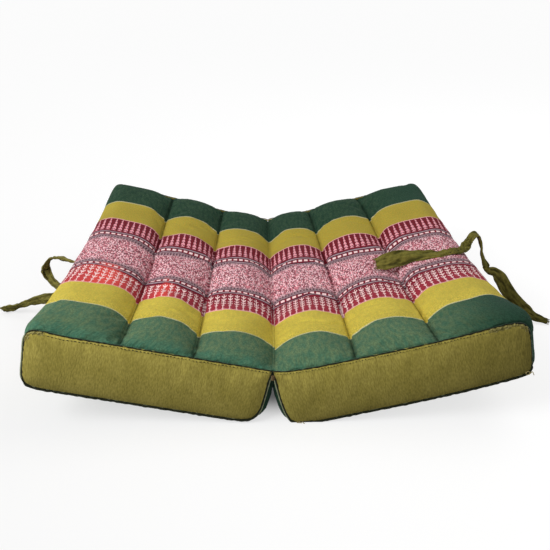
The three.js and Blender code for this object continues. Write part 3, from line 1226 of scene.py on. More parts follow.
    def section(self, y: float, fine: int = 1) -> Array:
        """The half's outline at y, clockwise from the hinge edge.

        Args:
            y: place along the tubes, mm.
            fine: how many times finer than the coarsest outline.

        Returns:
            Points as (across, down) in the half's tilted frame.
        """
        b = self.build
        seam_a, seam_b = self.channel_seams(y)
        wide, back, middleness = self.half_width(y), b.back(y), b.middleness(y)
        swell = 1 - fade(b.end(y), b.crown_reach[0] if y < 0 else b.crown_reach[1])
        crown, belly = b.tube_crown * swell, b.belly_crown * swell
        top_out = b.seam_sink * b.sink(y)
        top = top_out + b.back_notch * fade(back, b.notch_reach)
        level, half = b.thickness + b.belly_sag * middleness, b.thickness / 2
        rounds = (self.over_round, self.outer_round, self.inner_round)
        over, under_out, under_in = (mix(power, b.corner_middle, middleness) for power in rounds)
        over = mix(over, self.over_round_back, fade(back, b.corner_reach))
        down, cos = b.hinge_sink * b.sink(y), math.cos(b.rest_angle)
        hinge = ((b.hinge_gap - down * math.sin(b.rest_angle)) / cos, down)
        inner = b.hinge_gap / cos - b.inner_bulge * middleness - b.inner_swell(y)
        out, into = ((seam_b + wide) / 2, half), (seam_a / 2, half)
        reach = self.outer_side(y) - out[0]
        tops = [hinge, (seam_a, top), (seam_b, top), (wide, top_out)]
        bottoms = [(x, level - belly) for x in (wide, seam_b, seam_a, 0)]
        n, _, c = self.columns(fine)
        share = np.arange(c) / c
        runs = [
            self.arc(*tops[:2], crown, n),
            self.arc(*tops[1:3], crown, n),
            self.arc(*tops[2:], crown, n // 2, (-1, 0)),
            self.corner(out, (reach, half - (top + top_out) / 2 + crown), over, 90, 2 * c),
            self.corner(out, (reach, level - half), under_out, 0, 2 * c),
            self.arc(*bottoms[:2], -belly, c, (0, 1)),
            self.arc(*bottoms[1:3], -belly, 2 * c),
            self.arc(*bottoms[2:], -belly, c, (-1, 0)),
            self.corner(into, (into[0] - inner, level - half), under_in, -90, 2 * c),
            np.stack([mix(inner, hinge[0], share * share), mix(half, hinge[1], share)], axis=-1),
        ]
        outline = np.concatenate(runs)
        low = np.clip(outline[:, 1] / b.thickness, 0, 1) ** 3
        outline[:, 0] += self.inner_lean * low * wane(outline[:, 0], seam_a) * (1 - middleness)
        return outline

    def seam_columns(self, fine: int = 1) -> list[int]:
        """Columns of the outline that are sewn down: the hinge edge and the channels, top and bottom."""
        n, rim, c = self.columns(fine)
        return [0, n, 2 * n, rim + 5 * c, rim + 7 * c]

    def place(self, outline: Array, y: float | Array) -> Array:
        """From (across, down) in the tilted frame to the part's frame.

        Args:
            outline: points in the tilted frame, mm.
            y: their places along the tubes, mm.

        Returns:
            The points, with the small lifts of the halves' corners; none passes the floor.
        """
        b = self.build
        across, down = outline[..., 0], outline[..., 1]
        at = np.broadcast_to(np.asarray(y, float), across.shape)
        front, cos, sin = b.front(at), math.cos(b.rest_angle), math.sin(b.rest_angle)
        lifted = fade(np.maximum(across, 0), b.inner_reach) * wane(down, b.thickness)
        z = b.hinge_height + across * sin - down * cos
        z = z + b.hinge_lift(at) * (1 - across / b.width if self.left else lifted)
        z += b.raised_back * climb(across, *b.raised_out) * climb(at, *b.raised_along)
        for lift, end in ((self.upturn, front), (self.front_ear, front), (self.ear, b.back(at))):
            z += lift.at(across, down, end)
        x = b.hinge_x(at) + self.side.value * (across * cos + down * sin)
        return np.stack([x, at, np.maximum(z, CLEAR)], axis=-1)

    def shell(self, fine: int = 1) -> tuple[Array, Array]:
        """The cover's grid of points, with its sections closer together at the ends.

        Args:
            fine: how many times finer than the simulated grid.

        Returns:
            The grid in mm, and y of each row.
        """
        reach, ends = self.build.reach, np.array(self.end_rows)
        count = round((reach - ends[-1]) * 2 / self.row_step)
        middle = np.linspace(ends[-1] - reach, reach - ends[-1], count + 1)
        rows = np.concatenate([ends[:-1] - reach, middle, (reach - ends[:-1])[::-1]])
        rows = np.interp(np.arange((len(rows) - 1) * fine + 1) / fine, np.arange(len(rows)), rows)
        squeeze = self.build.cover_end / reach
        return np.stack([self.place(self.section(y, fine), y * squeeze) for y in rows]), rows

    def fill(self, grid: Array) -> Array:
        """Swells the cover by cloth simulation, held along its seams.

        Args:
            grid: the cover's coarse grid.

        Returns:
            How far each point moved, mm, at most the swell cap.
        """
        rows, cols = grid.shape[:2]
        weave = np.zeros((rows, cols + 1, 2))
        bag = closed_skin(f"filling_{self.name}", grid, weave, bpy.data.materials.new("filling"))
        held = grid[..., 2] < 1.0
        held[:2] = held[-2:] = held[:, self.seam_columns()] = True
        bag.vertex_groups.new(name="sewn").add(np.flatnonzero(held).tolist(), 1.0, "REPLACE")
        cloth = bag.modifiers.new("Filling", "CLOTH")
        s = cloth.settings
        s.quality, s.mass, s.air_damping = 6, 0.3, 2.0
        s.tension_stiffness = s.compression_stiffness = 12
        s.shear_stiffness, s.bending_stiffness = 4, 0.35
        s.use_pressure, s.uniform_pressure_force = True, 4.0
        s.vertex_group_mass = "sewn"
        s.shrink_min = -0.014
        s.effector_weights.gravity = 0
        cloth.collision_settings.use_collision = False
        scene = bpy.context.scene
        for frame in range(1, 21):
            scene.frame_set(frame)
        mesh = bag.evaluated_get(bpy.context.evaluated_depsgraph_get()).data
        after = np.empty(rows * cols * 3, np.float32)
        mesh.vertices.foreach_get("co", after)
        moved = after.reshape(rows, cols, 3) / MM - grid
        scene.frame_set(1)
        bpy.data.objects.remove(bag)
        far = np.linalg.norm(moved, axis=-1, keepdims=True)
        return moved * np.tanh(far / self.swell_cap) * self.swell_cap / np.maximum(far, 1e-6)

    @staticmethod
    def refined(coarse: Array) -> Array:
        """Makes a field over the cover finer; its columns wrap.

        Args:
            coarse: the field on the coarse grid.

        Returns:
            The field on the grid twice as fine.
        """
        wide = np.repeat(coarse, 2, axis=1)
        before, after, next_after = (np.roll(coarse, step, axis=1) for step in (1, -1, -2))
        wide[:, 1::2] = (9 * (coarse + after) - before - next_after) / 16
        tall = np.repeat(wide, 2, axis=0)[:-1]
        padded = np.concatenate([wide[:1], wide, wide[-1:]])
        tall[1::2] = (9 * (padded[1:-2] + padded[2:-1]) - padded[:-3] - padded[3:]) / 16
        return tall

    def cover(self) -> Thing:
        """Builds the filled cover.

        Returns:
            The cover's object.
        """
        coarse, _ = self.shell()
        moved = self.fill(coarse)
        log.info("cover_%s: swelled by %.1f mm at most", self.name, np.linalg.norm(moved, axis=-1).max())
        grid, rows = self.shell(2)
        grid = grid + self.refined(moved)
        y = rows[:, None]
        around = np.linalg.norm(np.roll(grid, -1, axis=1) - grid, axis=-1)
        u = np.concatenate([0 * y, np.cumsum(around, axis=1)], axis=1)
        v = (y + self.band_shift) / self.band_stretch + self.band_lag(grid[..., 0], y)
        weave = np.stack([u, np.concatenate([v, v[:, :1]], axis=1)], axis=-1)
        grid = self.gathered(grid, u[:, :-1], y)
        marks = {"Warmth": self.warmth(grid), "Deep": self.deep(grid, u[:, :-1], y)}
        return closed_skin(f"cover_{self.name}", grid, weave, self.shop.cover, **marks)

    def band_lag(self, x: Array, y: Array) -> Array:
        """How far the bands of the left half's inner and outer tubes have slipped to the front seam.

        Args:
            x: places across the part, mm.
            y: places along the tubes, mm.

        Returns:
            The slip at each place, mm.
        """
        if not self.left:
            return np.zeros(x.shape)
        inner, outer = bell(x, *self.inner_slip), bell(x, *self.outer_slip)
        early = (14 * inner + 7 * outer) * bell(y, *self.early_slip)
        late = inner * climb(-y, 140, 60) + outer * climb(-y, 110, 60)
        return self.lag * late * climb(y, -360, 30) - early

    @staticmethod
    def nearest(u: Array, columns: list[int], stray: float | Array = 0) -> Array:
        """How far each point lies from the nearest of those columns, which wander by stray."""
        return np.min([np.abs(u - u[:, [column]] + stray) for column in columns], axis=0)

    def gathered(self, grid: Array, u: Array, y: Array) -> Array:
        """Adds the small pulls that sewing leaves in the cloth.

        Args:
            grid: the swollen cover.
            u: cloth coordinate round the section.
            y: place of each row along the tubes.

        Returns:
            The grid with gathers at its seams and the filling's lumps.
        """
        across = np.roll(grid, -1, axis=1) - np.roll(grid, 1, axis=1)
        normal = unit(np.cross(np.gradient(grid, axis=0), across))
        normal *= np.sign((normal * (grid - grid.mean(axis=(0, 1)))).sum())
        end, seams = self.build.end(y), self.seam_columns(2)
        spacing = self.nearest(u, seams)
        kinds = (self.lumps, self.pulls, self.tucks)
        lumps, pulls, tucks = (waves.at(u, y, self.side.value) for waves in kinds)
        height = lumps * (1 - fade(end, self.lump_end))
        height = height + pulls * fade(spacing, self.pull_seam) * (1 - fade(end, self.pull_end))
        height += tucks * fade(end, self.tuck_end) * (1 - fade(end, self.calm))
        height *= 1 - fade(spacing, self.calm)
        (dent, dent_width), (end_dent, end_width) = self.channel_dent, self.end_dent
        height -= dent * bell(self.nearest(u, seams[1:]), 0, dent_width) * (1 - fade(end, 4))
        height -= end_dent * bell(end, 0, end_width)
        grid = grid + normal * height[..., None]
        grid[..., 2] = np.maximum(grid[..., 2], CLEAR)
        return grid

    def warmth(self, grid: Array) -> Array:
        """Where the crimson dye has gone coral: the front band of the two outer left tubes.

        Args:
            grid: the cover's points.

        Returns:
            A share for each point.
        """
        x, y = grid[..., 0], grid[..., 1]
        coral = sum(share * bell(x, *spot) for share, *spot in self.coral)
        return np.clip(coral, 0, 1) * (y < 0) * self.left

    def deep(self, grid: Array, u: Array, y: Array) -> Array:
        """Where painted shade darkens the green: far out on the right, towards the hinge's gap, and in
        pleats.

        Args:
            grid: the cover's points.
            u: cloth coordinate round the section.
            y: place of each row along the tubes.

        Returns:
            A share for each point.
        """
        x, z = grid[..., 0], grid[..., 2]
        facing = (1 - climb(np.abs(x), *self.gap[0])) * (1 - climb(z, *self.gap[1]))
        end = self.build.end(y)
        channel = self.nearest(u, self.seam_columns(2)[1:3], 2.5 * np.sin(end / 7))
        pleat = bell(channel, 0, 3 + 8 * fade(end, 14)) * fade(end, 30)
        return np.max([smooth(climb(x, *self.far_out)), facing, pleat], axis=0)

    def panel(self, end: End) -> Thing:
        """Builds one end panel: a domed cloth with a turned edge.

        Args:
            end: which end it closes.

        Returns:
            The panel's object.
        """
        rows, cols = self.panel_grid
        _, rim, c = self.columns(4)
        outline = self.section(end.value * self.build.reach, 4)
        ring = np.vstack([outline, outline[:1]])
        cuts = (0, rim + c, rim + 3 * c, rim + 9 * c, len(outline))
        top, outer, bottom, inner = (ring[a : b + 1] for a, b in zip(cuts, cuts[1:]))
        top, bottom = spread(top, cols), spread(bottom[::-1], cols)
        outer, inner = spread(outer, rows), spread(inner[::-1], rows)
        s, r = np.linspace(0, 1, cols)[None, :, None], np.linspace(0, 1, rows)[:, None, None]
        flat = mix(top[None], bottom[None], r) + mix(inner[:, None], outer[:, None], s)
        flat = flat - mix(mix(top[0], top[-1], s), mix(bottom[0], bottom[-1], s), r)
        s, r = s[..., 0], r[..., 0]
        width, thickness = self.build.width, self.build.thickness
        edge = np.minimum(np.minimum(s, 1 - s) * width, np.minimum(r, 1 - r) * thickness)
        x, z = flat[..., 0], flat[..., 1]
        more = 3 * self.side.value + end.value
        folds = self.folds.at(x, z, more) * fade(z, self.fold_reach) + self.swells.at(x, z, more)
        folds += self.puckers.at(x, z, more) * fade(edge, self.pucker_reach)
        rise = self.dome[0] * (1 - fade(edge, self.dome[1])) + self.panel_belly * np.sin(math.pi * r)
        rise += folds * (1 - fade(edge, self.calm_edge))
        for height, middle, reach in (self.lip, self.groove):
            rise += height * bell(edge, middle, reach)
        return self.turned(end, self.place(flat, end.value * (self.build.reach + rise)), flat)

    def turned(self, end: End, front: Array, flat: Array) -> Thing:
        """Gives a panel's face its turned edge and its back.

        Args:
            end: which end the panel closes.
            front: the face's grid in the part's frame, mm.
            flat: the same grid in the tilted frame, which is its cloth coordinates too.

        Returns:
            The panel's object.
        """
        face, shape = front.reshape(-1, 3), flat.reshape(-1, 2)
        index = np.arange(len(face)).reshape(front.shape[:2])
        ring = np.concatenate([index[0], index[1:, -1], index[-1, -2::-1], index[-2:0:-1, 0]])
        edge = face[ring]
        outward = self.place(shape[ring] + unit(shape[ring] - shape.mean(axis=0)) * 1.3, edge[:, 1])
        rolls = []
        for share, beyond in self.rims:
            rolls.append(mix(edge, outward, share))
            rolls[-1][:, 1] = end.value * (self.build.reach + beyond)
        points = np.concatenate([face, *rolls, face - (0, end.value * 2.0, 0)])
        points[:, 2] = np.maximum(points[:, 2], CLEAR)
        behind = len(face) + len(rolls) * len(ring)
        chain = np.vstack([ring, np.arange(len(face), behind).reshape(len(rolls), -1), behind + ring])
        after = np.roll(chain, -1, axis=1)
        rim = np.stack([after[:-1], chain[:-1], chain[1:], after[1:]], axis=-1).reshape(-1, 4)
        quads = np.stack([index[:-1, :-1], index[:-1, 1:], index[1:, 1:], index[1:, :-1]], axis=-1)
        quads = quads.reshape(-1, 4)
        faces = np.concatenate([quads, behind + quads[:, ::-1], rim])
        if (end is End.FRONT) == self.left:
            faces = faces[:, ::-1]
        weave = np.concatenate([shape, *[shape[ring]] * len(rolls), shape])
        # painted shade that deepens towards the right panel's outer side
        worn = self.outer_shade * climb(weave[:, 0], *self.worn) ** 1.3
        name = f"end_cloth_{end.label}_{self.name}"
        return clothed(name, points, faces.tolist(), weave[faces], self.shop.panel, {"Crease": worn})

    # ---- Seams ----

    def welt(self, seam: EndSeam) -> Thing:
        """The seam allowance rolled out round the end, thin along the top. Its pale roll is partly a painted
        highlight: full on the left half's outer side, it stands in for the cover's lit edge there.

        Args:
            seam: the end seam that it follows.

        Returns:
            The welt's object.
        """
        side = 1 - climb(seam.across, *self.welt_inner) + self.left * climb(seam.across, *self.welt_outer)
        full = seam.low * (0.1 + 0.9 * side)
        line = seam.line(-0.9 - 1.3 * full, -0.1)
        radius = (0.4 + 0.9 * full) * (1 + self.welt_waves.along(len(line), seam.end.value))
        line[:, 2] = np.maximum(line[:, 2], radius + CLEAR)
        name = f"welt_{seam.end.label}_{self.name}"
        return rolled(name, self.shop.welt, [line], [radius], 8, closed=True)

    def seam_thread(self) -> Thing:
        """The dark thread between each panel and the turned cover, thickest underneath: partly the seam's
        thread, partly painted shade in the seam's groove and under the panel's bottom edge.

        Returns:
            The thread's object.
        """
        lines, radii = [], []
        for seam in self.seams:
            under = climb(seam.down, 85, 10)
            line = seam.line(-1.4 + 1.6 * seam.low - 2.6 * under, 0.7)
            radius = 1.0 + 0.35 * seam.low + 0.7 * under + 0.5 * seam.low * (seam.across < 30)
            radius += self.thread_swells.along(len(line))
            line[:, 2] += self.thread_waves.along(len(line))
            line[:, 2] = np.maximum(line[:, 2], radius + CLEAR)
            lines.append(line)
            radii.append(radius)
        return rolled(f"seam_thread_{self.name}", self.shop.seam, lines, radii, 6, closed=True)

    def stitches(self) -> Thing:
        """Long dark stitches under the top edge of both end panels, lower towards the outer corner: partly
        the seam's thread, partly painted shadow marks under the turned top edge.

        Returns:
            The stitches' object.
        """
        lines, (drop, start, run) = [], self.stitch_drop
        for seam in self.seams:
            notch = self.build.back_notch * (seam.end is End.BACK)
            top = (seam.down < notch + 1.2) & (seam.across > 2)
            top &= np.arange(len(top)) < np.argmax(seam.across)
            line = seam.line(2.0 + drop * climb(seam.across, start, run), 2.2)[top]
            line[:, 2] += self.stitch_waves.along(len(line), seam.end.value)
            lines.append(line)
        return sewn(f"panel_stitches_{self.name}", self.shop.stitch, lines, self.stitch_sizes, wander=0.22)

    def corner_folds(self) -> Thing:
        """Cloth bunched in the seam at the panels' upper outer corners.

        Returns:
            The folds' object.
        """
        lines, radii = [], []
        for seam in self.seams:
            run = (seam.across > self.fold_from) & (seam.down < 24)
            at = np.arange(run.sum())
            taper = 0.35 + 0.65 * np.tanh(np.minimum(at, at[::-1]) / 4)
            for inset, beyond, thick in self.bunches:
                lines.append(seam.line(inset, beyond)[run])
                lines[-1][:, 2] += self.bunch_waves.along(len(at), seam.end.value, inset)
                radii.append(thick * taper * (1 + self.bunch_swells.along(len(at), 0, inset)))
        return rolled(f"corner_folds_{self.name}", self.shop.bunch, lines, radii, 7)

    def thread_ends(self) -> Thing:
        """Loose ends of the sewing thread, knotted at the front panel's lower corners.

        Returns:
            The thread ends' object.
        """
        seam, lines, t = self.seams[0], [], np.linspace(0, 1, 40)
        for across, turns in ((self.half_width(-self.build.reach) + 6, 2.2), (22.0, 1.1)):
            near = np.argmin(np.hypot(seam.across - across, seam.down - self.build.thickness))
            wind = 2 * math.pi * turns * t
            loop = np.stack([3.4 * np.cos(wind), -1.5 * t, 2.6 * np.sin(wind)], axis=-1)
            tail = np.stack([self.side.value * (4 + 5 * t), -1.5 - 2 * t * t, 3 * np.sin(4 * t)], axis=-1)
            lines += [seam.line(-0.5, 2.5)[near] + line for line in (loop, tail)]
        for line in lines:
            line[:, 2] = np.maximum(line[:, 2], 0.8)
        radii = [np.full(len(line), 0.6) for line in lines]
        return rolled(f"thread_ends_{self.name}", self.shop.loose_end, lines, radii, 6)

    def channel_stitches(self) -> Thing:
        """Dark stitches along the bottom of each channel, on the top and underneath.

        Returns:
            The stitches' object.
        """
        grid, _ = self.shell()
        sunk = zip(self.seam_columns()[1:], (-3.0, -3.0, 2.0, 2.0))
        lines = [grid[4:-4, column] + (0, 0, rise) for column, rise in sunk]
        for line in lines:
            line[:, 2] = np.maximum(line[:, 2], 0.6)
        return sewn(f"channel_stitches_{self.name}", self.shop.stitch, lines, (4.2, 2.8, 0.8), wander=0.06)


@dataclass
class RightHalf(Half):
    """The right half: more drawn in at its ends, flared in front and squarer at its corners."""

    side: Side = Side.RIGHT
    seams_front: Pair = (0.346, 0.684)
    seams_back: Pair = (0.291, 0.643)
    bulge: float = 23
    pull_back: float = 20
    draw_in: float = 18
    back_taper: float = 11
    flare: float = 8
    inner_round: float = 0.34
    inner_lean: float = 9
    outer_round: float = 0.26
    over_round: float = 0.44
    over_round_back: float = 0.1
    upturn: Lift = Lift(8, 200, 180, 130)
    ear: Lift = Lift(2, 290, 80, 22, 60, top=1)
    front_ear: Lift = Lift(0, 318, 66, 22, 50, power=1.5)
    band_shift: float = 4
    band_stretch: float = 1.03
    outer_shade: float = 0.42
    fold_from: float = 338
    stitch_sizes: Triple = (5.0, 2.8, 1.0)
    tie_inset: float = 6


class EndSeam:
    """The seam round one end of a half, as evenly spaced points of the half's tilted frame."""

    def __init__(self, half: Half, end: End, count: int = 480) -> None:
        """Follows the half's outline at that end.

        Args:
            half: the half that the seam closes.
            end: at which of its ends.
            count: how finely the outline is cut up.
        """
        outline = half.section(end.value * half.build.reach, 3)
        self.half = half
        self.end = end
        self.ring = spread(np.vstack([outline, outline[:1]]), count)[:-1]
        self.across, self.down = self.ring.T
        self.low = smooth(climb(self.down, 3, 16))
        ahead = np.roll(self.ring, -1, axis=0) - np.roll(self.ring, 1, axis=0)
        out = unit(np.stack([ahead[:, 1], -ahead[:, 0]], axis=-1))
        self.out = out * np.sign((out * (self.ring - self.ring.mean(axis=0))).sum())

    def line(self, inset: float | Array, beyond: float) -> Array:
        """The seam in the part's frame, moved in by inset and out past the panel by beyond."""
        ring = self.ring - self.out * np.reshape(inset, (-1, 1))
        return self.half.place(ring, self.end.value * (self.half.build.reach + beyond))


@dataclass
class Hinge:
    """The seam that joins the halves: both top cloths pinched together and stitched."""

    shop: Workshop
    build: Build = field(default_factory=Build)
    end: float = 6
    rise: float = 1.2
    drop: float = 9
    # at the front the lower lobe hangs this much deeper: a dark sheet standing in for the shade at the top
    # of the gap between the halves
    front_drop: float = 25
    drop_reach: float = 40
    wide: float = 2.0
    waist: Pair = (0.08, 5)  # how much its width wavers, and how fast
    tack: Triple = (2.6, 1.6, 8)  # how far it reaches across, along and down
    tack_start: Pair = (15, 1)  # ahead and down
    tack_turns: int = 9

    def line(self, count: int) -> Array:
        """The hinge line, from front to back.

        Args:
            count: how many points it gets.

        Returns:
            Its points, mm.
        """
        b = self.build
        y = np.linspace(self.end - b.cover_end, b.cover_end - self.end, count)
        z = b.hinge_height + b.hinge_lift(y) - b.hinge_sink * b.sink(y)
        return np.stack([b.hinge_x(y), y, z], axis=-1)

    def ridge(self) -> Thing:
        """Builds the pinched ridge of cover cloth. Its lower lobe is darkened as painted shade, and hangs
        deeper at the front, where it stands in for the shade at the top of the gap between the halves.

        Returns:
            The ridge's object.
        """
        x, y, z = (axis[:, None] for axis in self.line(181).T)
        angle = np.linspace(0, 2 * math.pi, 20, endpoint=False)
        across, up = self.wide * signed(np.cos(angle), 0.6), np.sin(angle)
        lobe = np.where(up > 0, self.rise * up - 1.1 * bell(across, 0, 0.6), self.drop * up)
        deeper = 1 + self.front_drop / self.drop * fade(y - y[0], self.drop_reach)
        level = z + np.where(lobe < 0, lobe * deeper, lobe)
        wavering = 1 + self.waist[0] * np.sin(y / self.waist[1])
        grid = np.stack(np.broadcast_arrays(x + across * wavering, y, level), axis=-1)
        weave = np.stack(np.broadcast_arrays(np.arange(len(angle) + 1) * 1.2, y), axis=-1)
        # painted shade on the ridge's lower lobe
        deep = np.broadcast_to(lobe < -2, level.shape)
        return closed_skin("hinge_ridge", grid, weave, self.shop.cover, Deep=deep)

    def bartack(self) -> Thing:
        """Thread wound over the hinge's front end, below the seam.

        Returns:
            The bartack's object.
        """
        x, y, z = self.line(3)[0]
        t = np.linspace(0, 1, 90)
        angle = t * 2 * self.tack_turns * math.pi
        (wide, long, tall), (ahead, down) = self.tack, self.tack_start
        places = [x + wide * np.cos(angle), y - ahead - long * np.sin(angle), z - down - tall * t]
        line = np.stack(places, axis=-1)
        return rolled("hinge_bartack", self.shop.bartack, [line], [np.full(len(line), 0.55)], 6)


@dataclass
class Strap:
    """A flat tie of folded cloth along a twisting line.

    rows give the middle line out from the half's side, along the tubes and up, then the strap's
    width there and how far it is turned on its edge, in mm and degrees. layered tells from where to
    where its fold lies open along the lower edge; knots gives bunched places, each with its place
    along the strap, its reach and its height.
    """

    side: Side
    shop: Workshop
    root: Array
    rows: list[tuple[float, ...]]
    layered: Pair = (0, 0)
    knots: tuple[Triple, ...] = ()
    thickness: float = 2.3
    full_width: float = 28
    steps: int = 320
    around: int = 36
    creases: Ripples = Ripples(0, (60, 9), 1, 10)
    lumps: Ripples = Ripples(3, (26, 24), 0.9, 10)
    cupping: Ripples = Ripples(5, (70, 1e6), 1.8, 6)
    bunched: Pair = (13, 9)
    gathering: float = 5.0
    layer: float = 1.9

    @property
    def name(self) -> str:
        """The strap's name."""
        return f"strap_{self.side.label}"

    @cached_property
    def frame(self) -> tuple[Array, Array, Array, Array]:
        """How the strap runs.

        Returns:
            The middle line, the way across, the way out of the face, and the half width at each step.
        """
        out, along, up, width, turn = np.array(self.rows).T
        points = np.stack([self.root[0] + self.side.value * out, along, self.root[2] + up], axis=-1)
        line = smooth_line(points, self.steps)
        ahead = unit(np.gradient(line, axis=0)) * self.side.value
        level = unit(np.cross([0.0, 0.0, 1.0], ahead))
        angle = np.radians(eased(turn, self.steps) * self.side.value)[:, None]
        across = level * np.cos(angle) + np.cross(ahead, level) * np.sin(angle)
        return line, across, np.cross(ahead, across), eased(width, self.steps) / 2

    @property
    def length(self) -> float:
        """The strap's length along its middle line, mm."""
        return float(np.linalg.norm(np.diff(self.frame[0], axis=0), axis=1).sum())

    @cached_property
    def skin(self) -> tuple[Array, Array, Array]:
        """The strap's closed skin.

        Returns:
            Its grid of points, its cloth coordinates, and the painted shade in its creases at each point.
        """
        line, across, out, wide = self.frame
        s, wide = run_along(line)[:, None], wide[:, None]
        angle = np.linspace(0, 2 * math.pi, self.around, endpoint=False)
        q, puff = signed(np.cos(angle), 0.8), signed(np.sin(angle), 0.6)
        gather = wane(2 * wide, self.full_width)
        more, half = sum(map(ord, self.name)), self.full_width / 2 - 1
        folds = self.creases.at(s, q * half, more) * (1.3 + self.gathering * gather)
        folds += self.lumps.at(s, q * half, more)
        cup = (q * q - 0.4) * self.cupping.at(s, 0, more)
        opened = climb(s, self.layered[0], 12) * climb(-s, -self.layered[1], 12)
        folds += self.layer * opened * np.tanh((q + 0.3) / 0.05)
        for place, reach, height in self.knots:
            waves = Ripples(round(place), self.bunched, 1, 10).at(s, q * half, more)
            folds += height * bell(s, place, reach) * (0.4 + waves) * (1 - 0.5 * q * q)
        lift = folds + cup + self.thickness / 2 * puff * (1 + 0.8 * gather)
        shifts = [(i, j) for i in range(-6, 7, 3) for j in (-3, 0, 3)]
        # painted shade in the creases: darker where the folds lie below their neighbourhood
        evened = np.mean([np.roll(folds, shift, (0, 1)) for shift in shifts], axis=0)
        grid = line[:, None] + across[:, None] * (wide * q)[..., None] + out[:, None] * lift[..., None]
        grid[..., 2] = np.maximum(grid[..., 2], 0.3 + (puff > 0) * 1.6)
        turn = np.append(np.arccos(np.clip(q, -1, 1)) / math.pi, 0)
        turn[self.around // 2 + 1 :] = 2 - turn[self.around // 2 + 1 :]
        weave = np.stack(np.broadcast_arrays(turn * self.full_width, s), axis=-1)
        return grid, weave, np.clip((evened - folds) / 0.9 - 0.15, 0, 1)

    def cloth(self) -> Thing:
        """Builds the strap itself.

        Returns:
            The strap's object.
        """
        grid, weave, crease_shade = self.skin
        finish = self.shop.strap_left if self.side is Side.LEFT else self.shop.strap
        return closed_skin(self.name, grid, weave, finish, Crease=crease_shade)

    def hems(self) -> Thing:
        """Stitches along both long edges, on both faces.

        Returns:
            The hems' object.
        """
        grid, out = self.skin[0][4:-4], self.frame[2][4:-4]
        lines = []
        for share in (0.09, 0.41, 0.59, 0.91):
            edge = mix(grid[:, round(self.around * share)], grid.mean(axis=1), 0.02)
            lines.append(edge + out * (0.25 if share < 0.5 else -0.25))
        return sewn(f"strap_hems_{self.side.label}", self.shop.stitch, lines, (3.6, 2.4, 0.6))

    def fray(self, end: CutEnd) -> Thing:
        """Loose threads along a cut end.

        Args:
            end: which of the strap's ends.

        Returns:
            The fray's object.
        """
        grid = self.skin[0]
        edge = grid[end.value, : self.around // 2 + 1]
        inside = grid[4 if end is CutEnd.START else -5]
        outward = unit(grid[end.value].mean(axis=0) - inside.mean(axis=0))
        marks = {"outward": np.tile(outward, (len(edge), 1))}
        sizes = {"Pitch": 0.5 * MM, "Reach": 6.5 * MM, "Thread": 0.45 * MM, "Spread": 0.55, "Seed": SEED}
        name = f"strap_fray_{self.side.label}_{end.label}"
        return grown(name, self.shop.fray, [edge], marks, **sizes)


LEFT_ROWS = [
    (1, 2, 0, 24, 20),
    (10, 2, 0, 24, 22),
    (26, 1, 5, 20, 24),
    (43, 0, 9, 20, 22),
    (55, 0, 9, 24, 20),
    (64, 0, 1, 25, 20),
    (70, 0, -12, 22, 35),
    (69, 0, -26, 20, 75),
    (61, 0, -41, 23, 110),
    (51, 0, -55, 27, 120),
    (41, 1, -66, 28, 110),
    (45, 2, -76, 28, 85),
    (58, 2, -81, 28, 78),
    (77, 2, -84, 28, 75),
    (101, 6, -91, 25, 70),
    (132, 12, -103, 19, 62),
    (155, 17, -112, 15, 60),
    (170, 19, -117, 21, 50),
    (182, 20, -119, 27, 42),
]
RIGHT_ROWS = [
    (-190, -32, 4, 26, 40),
    (-172, -32, 8, 34, 42),
    (-142, -28, 15, 34, 42),
    (-113, -33, 21, 26, 30),
    (-86, -40, 27, 22, 18),
    (-60, -44, 31, 20, 12),
    (-37, -38, 33.5, 22, 8),
    (-15, -22, 30, 24, 0),
    (-1, -6, 37, 24, -10),
    (10, 0, 52, 24, -5),
    (18, 2, 54, 24, 0),
    (26, 3, 42, 25, 8),
    (37, 3, 7, 26, 12),
    (44, 2, -12, 24, 15),
    (52, -2, -25, 18, 40),
    (66, -3, -29, 20, 60),
    (79, -7, -42, 27, 74),
    (93, -12, -64, 28, 76),
    (110, -22, -85, 28, 76),
    (131, -32, -103, 26, 70),
    (151, -39, -115, 20, 50),
    (177, -43, -126, 12, 15),
]
OPEN_FOLD = (18, 122)
KNOTS = ((148, 12, 4.0), (176, 11, 5.0), (204, 12, 5.0), (322, 12, 3.0))


# ---- Stage ----


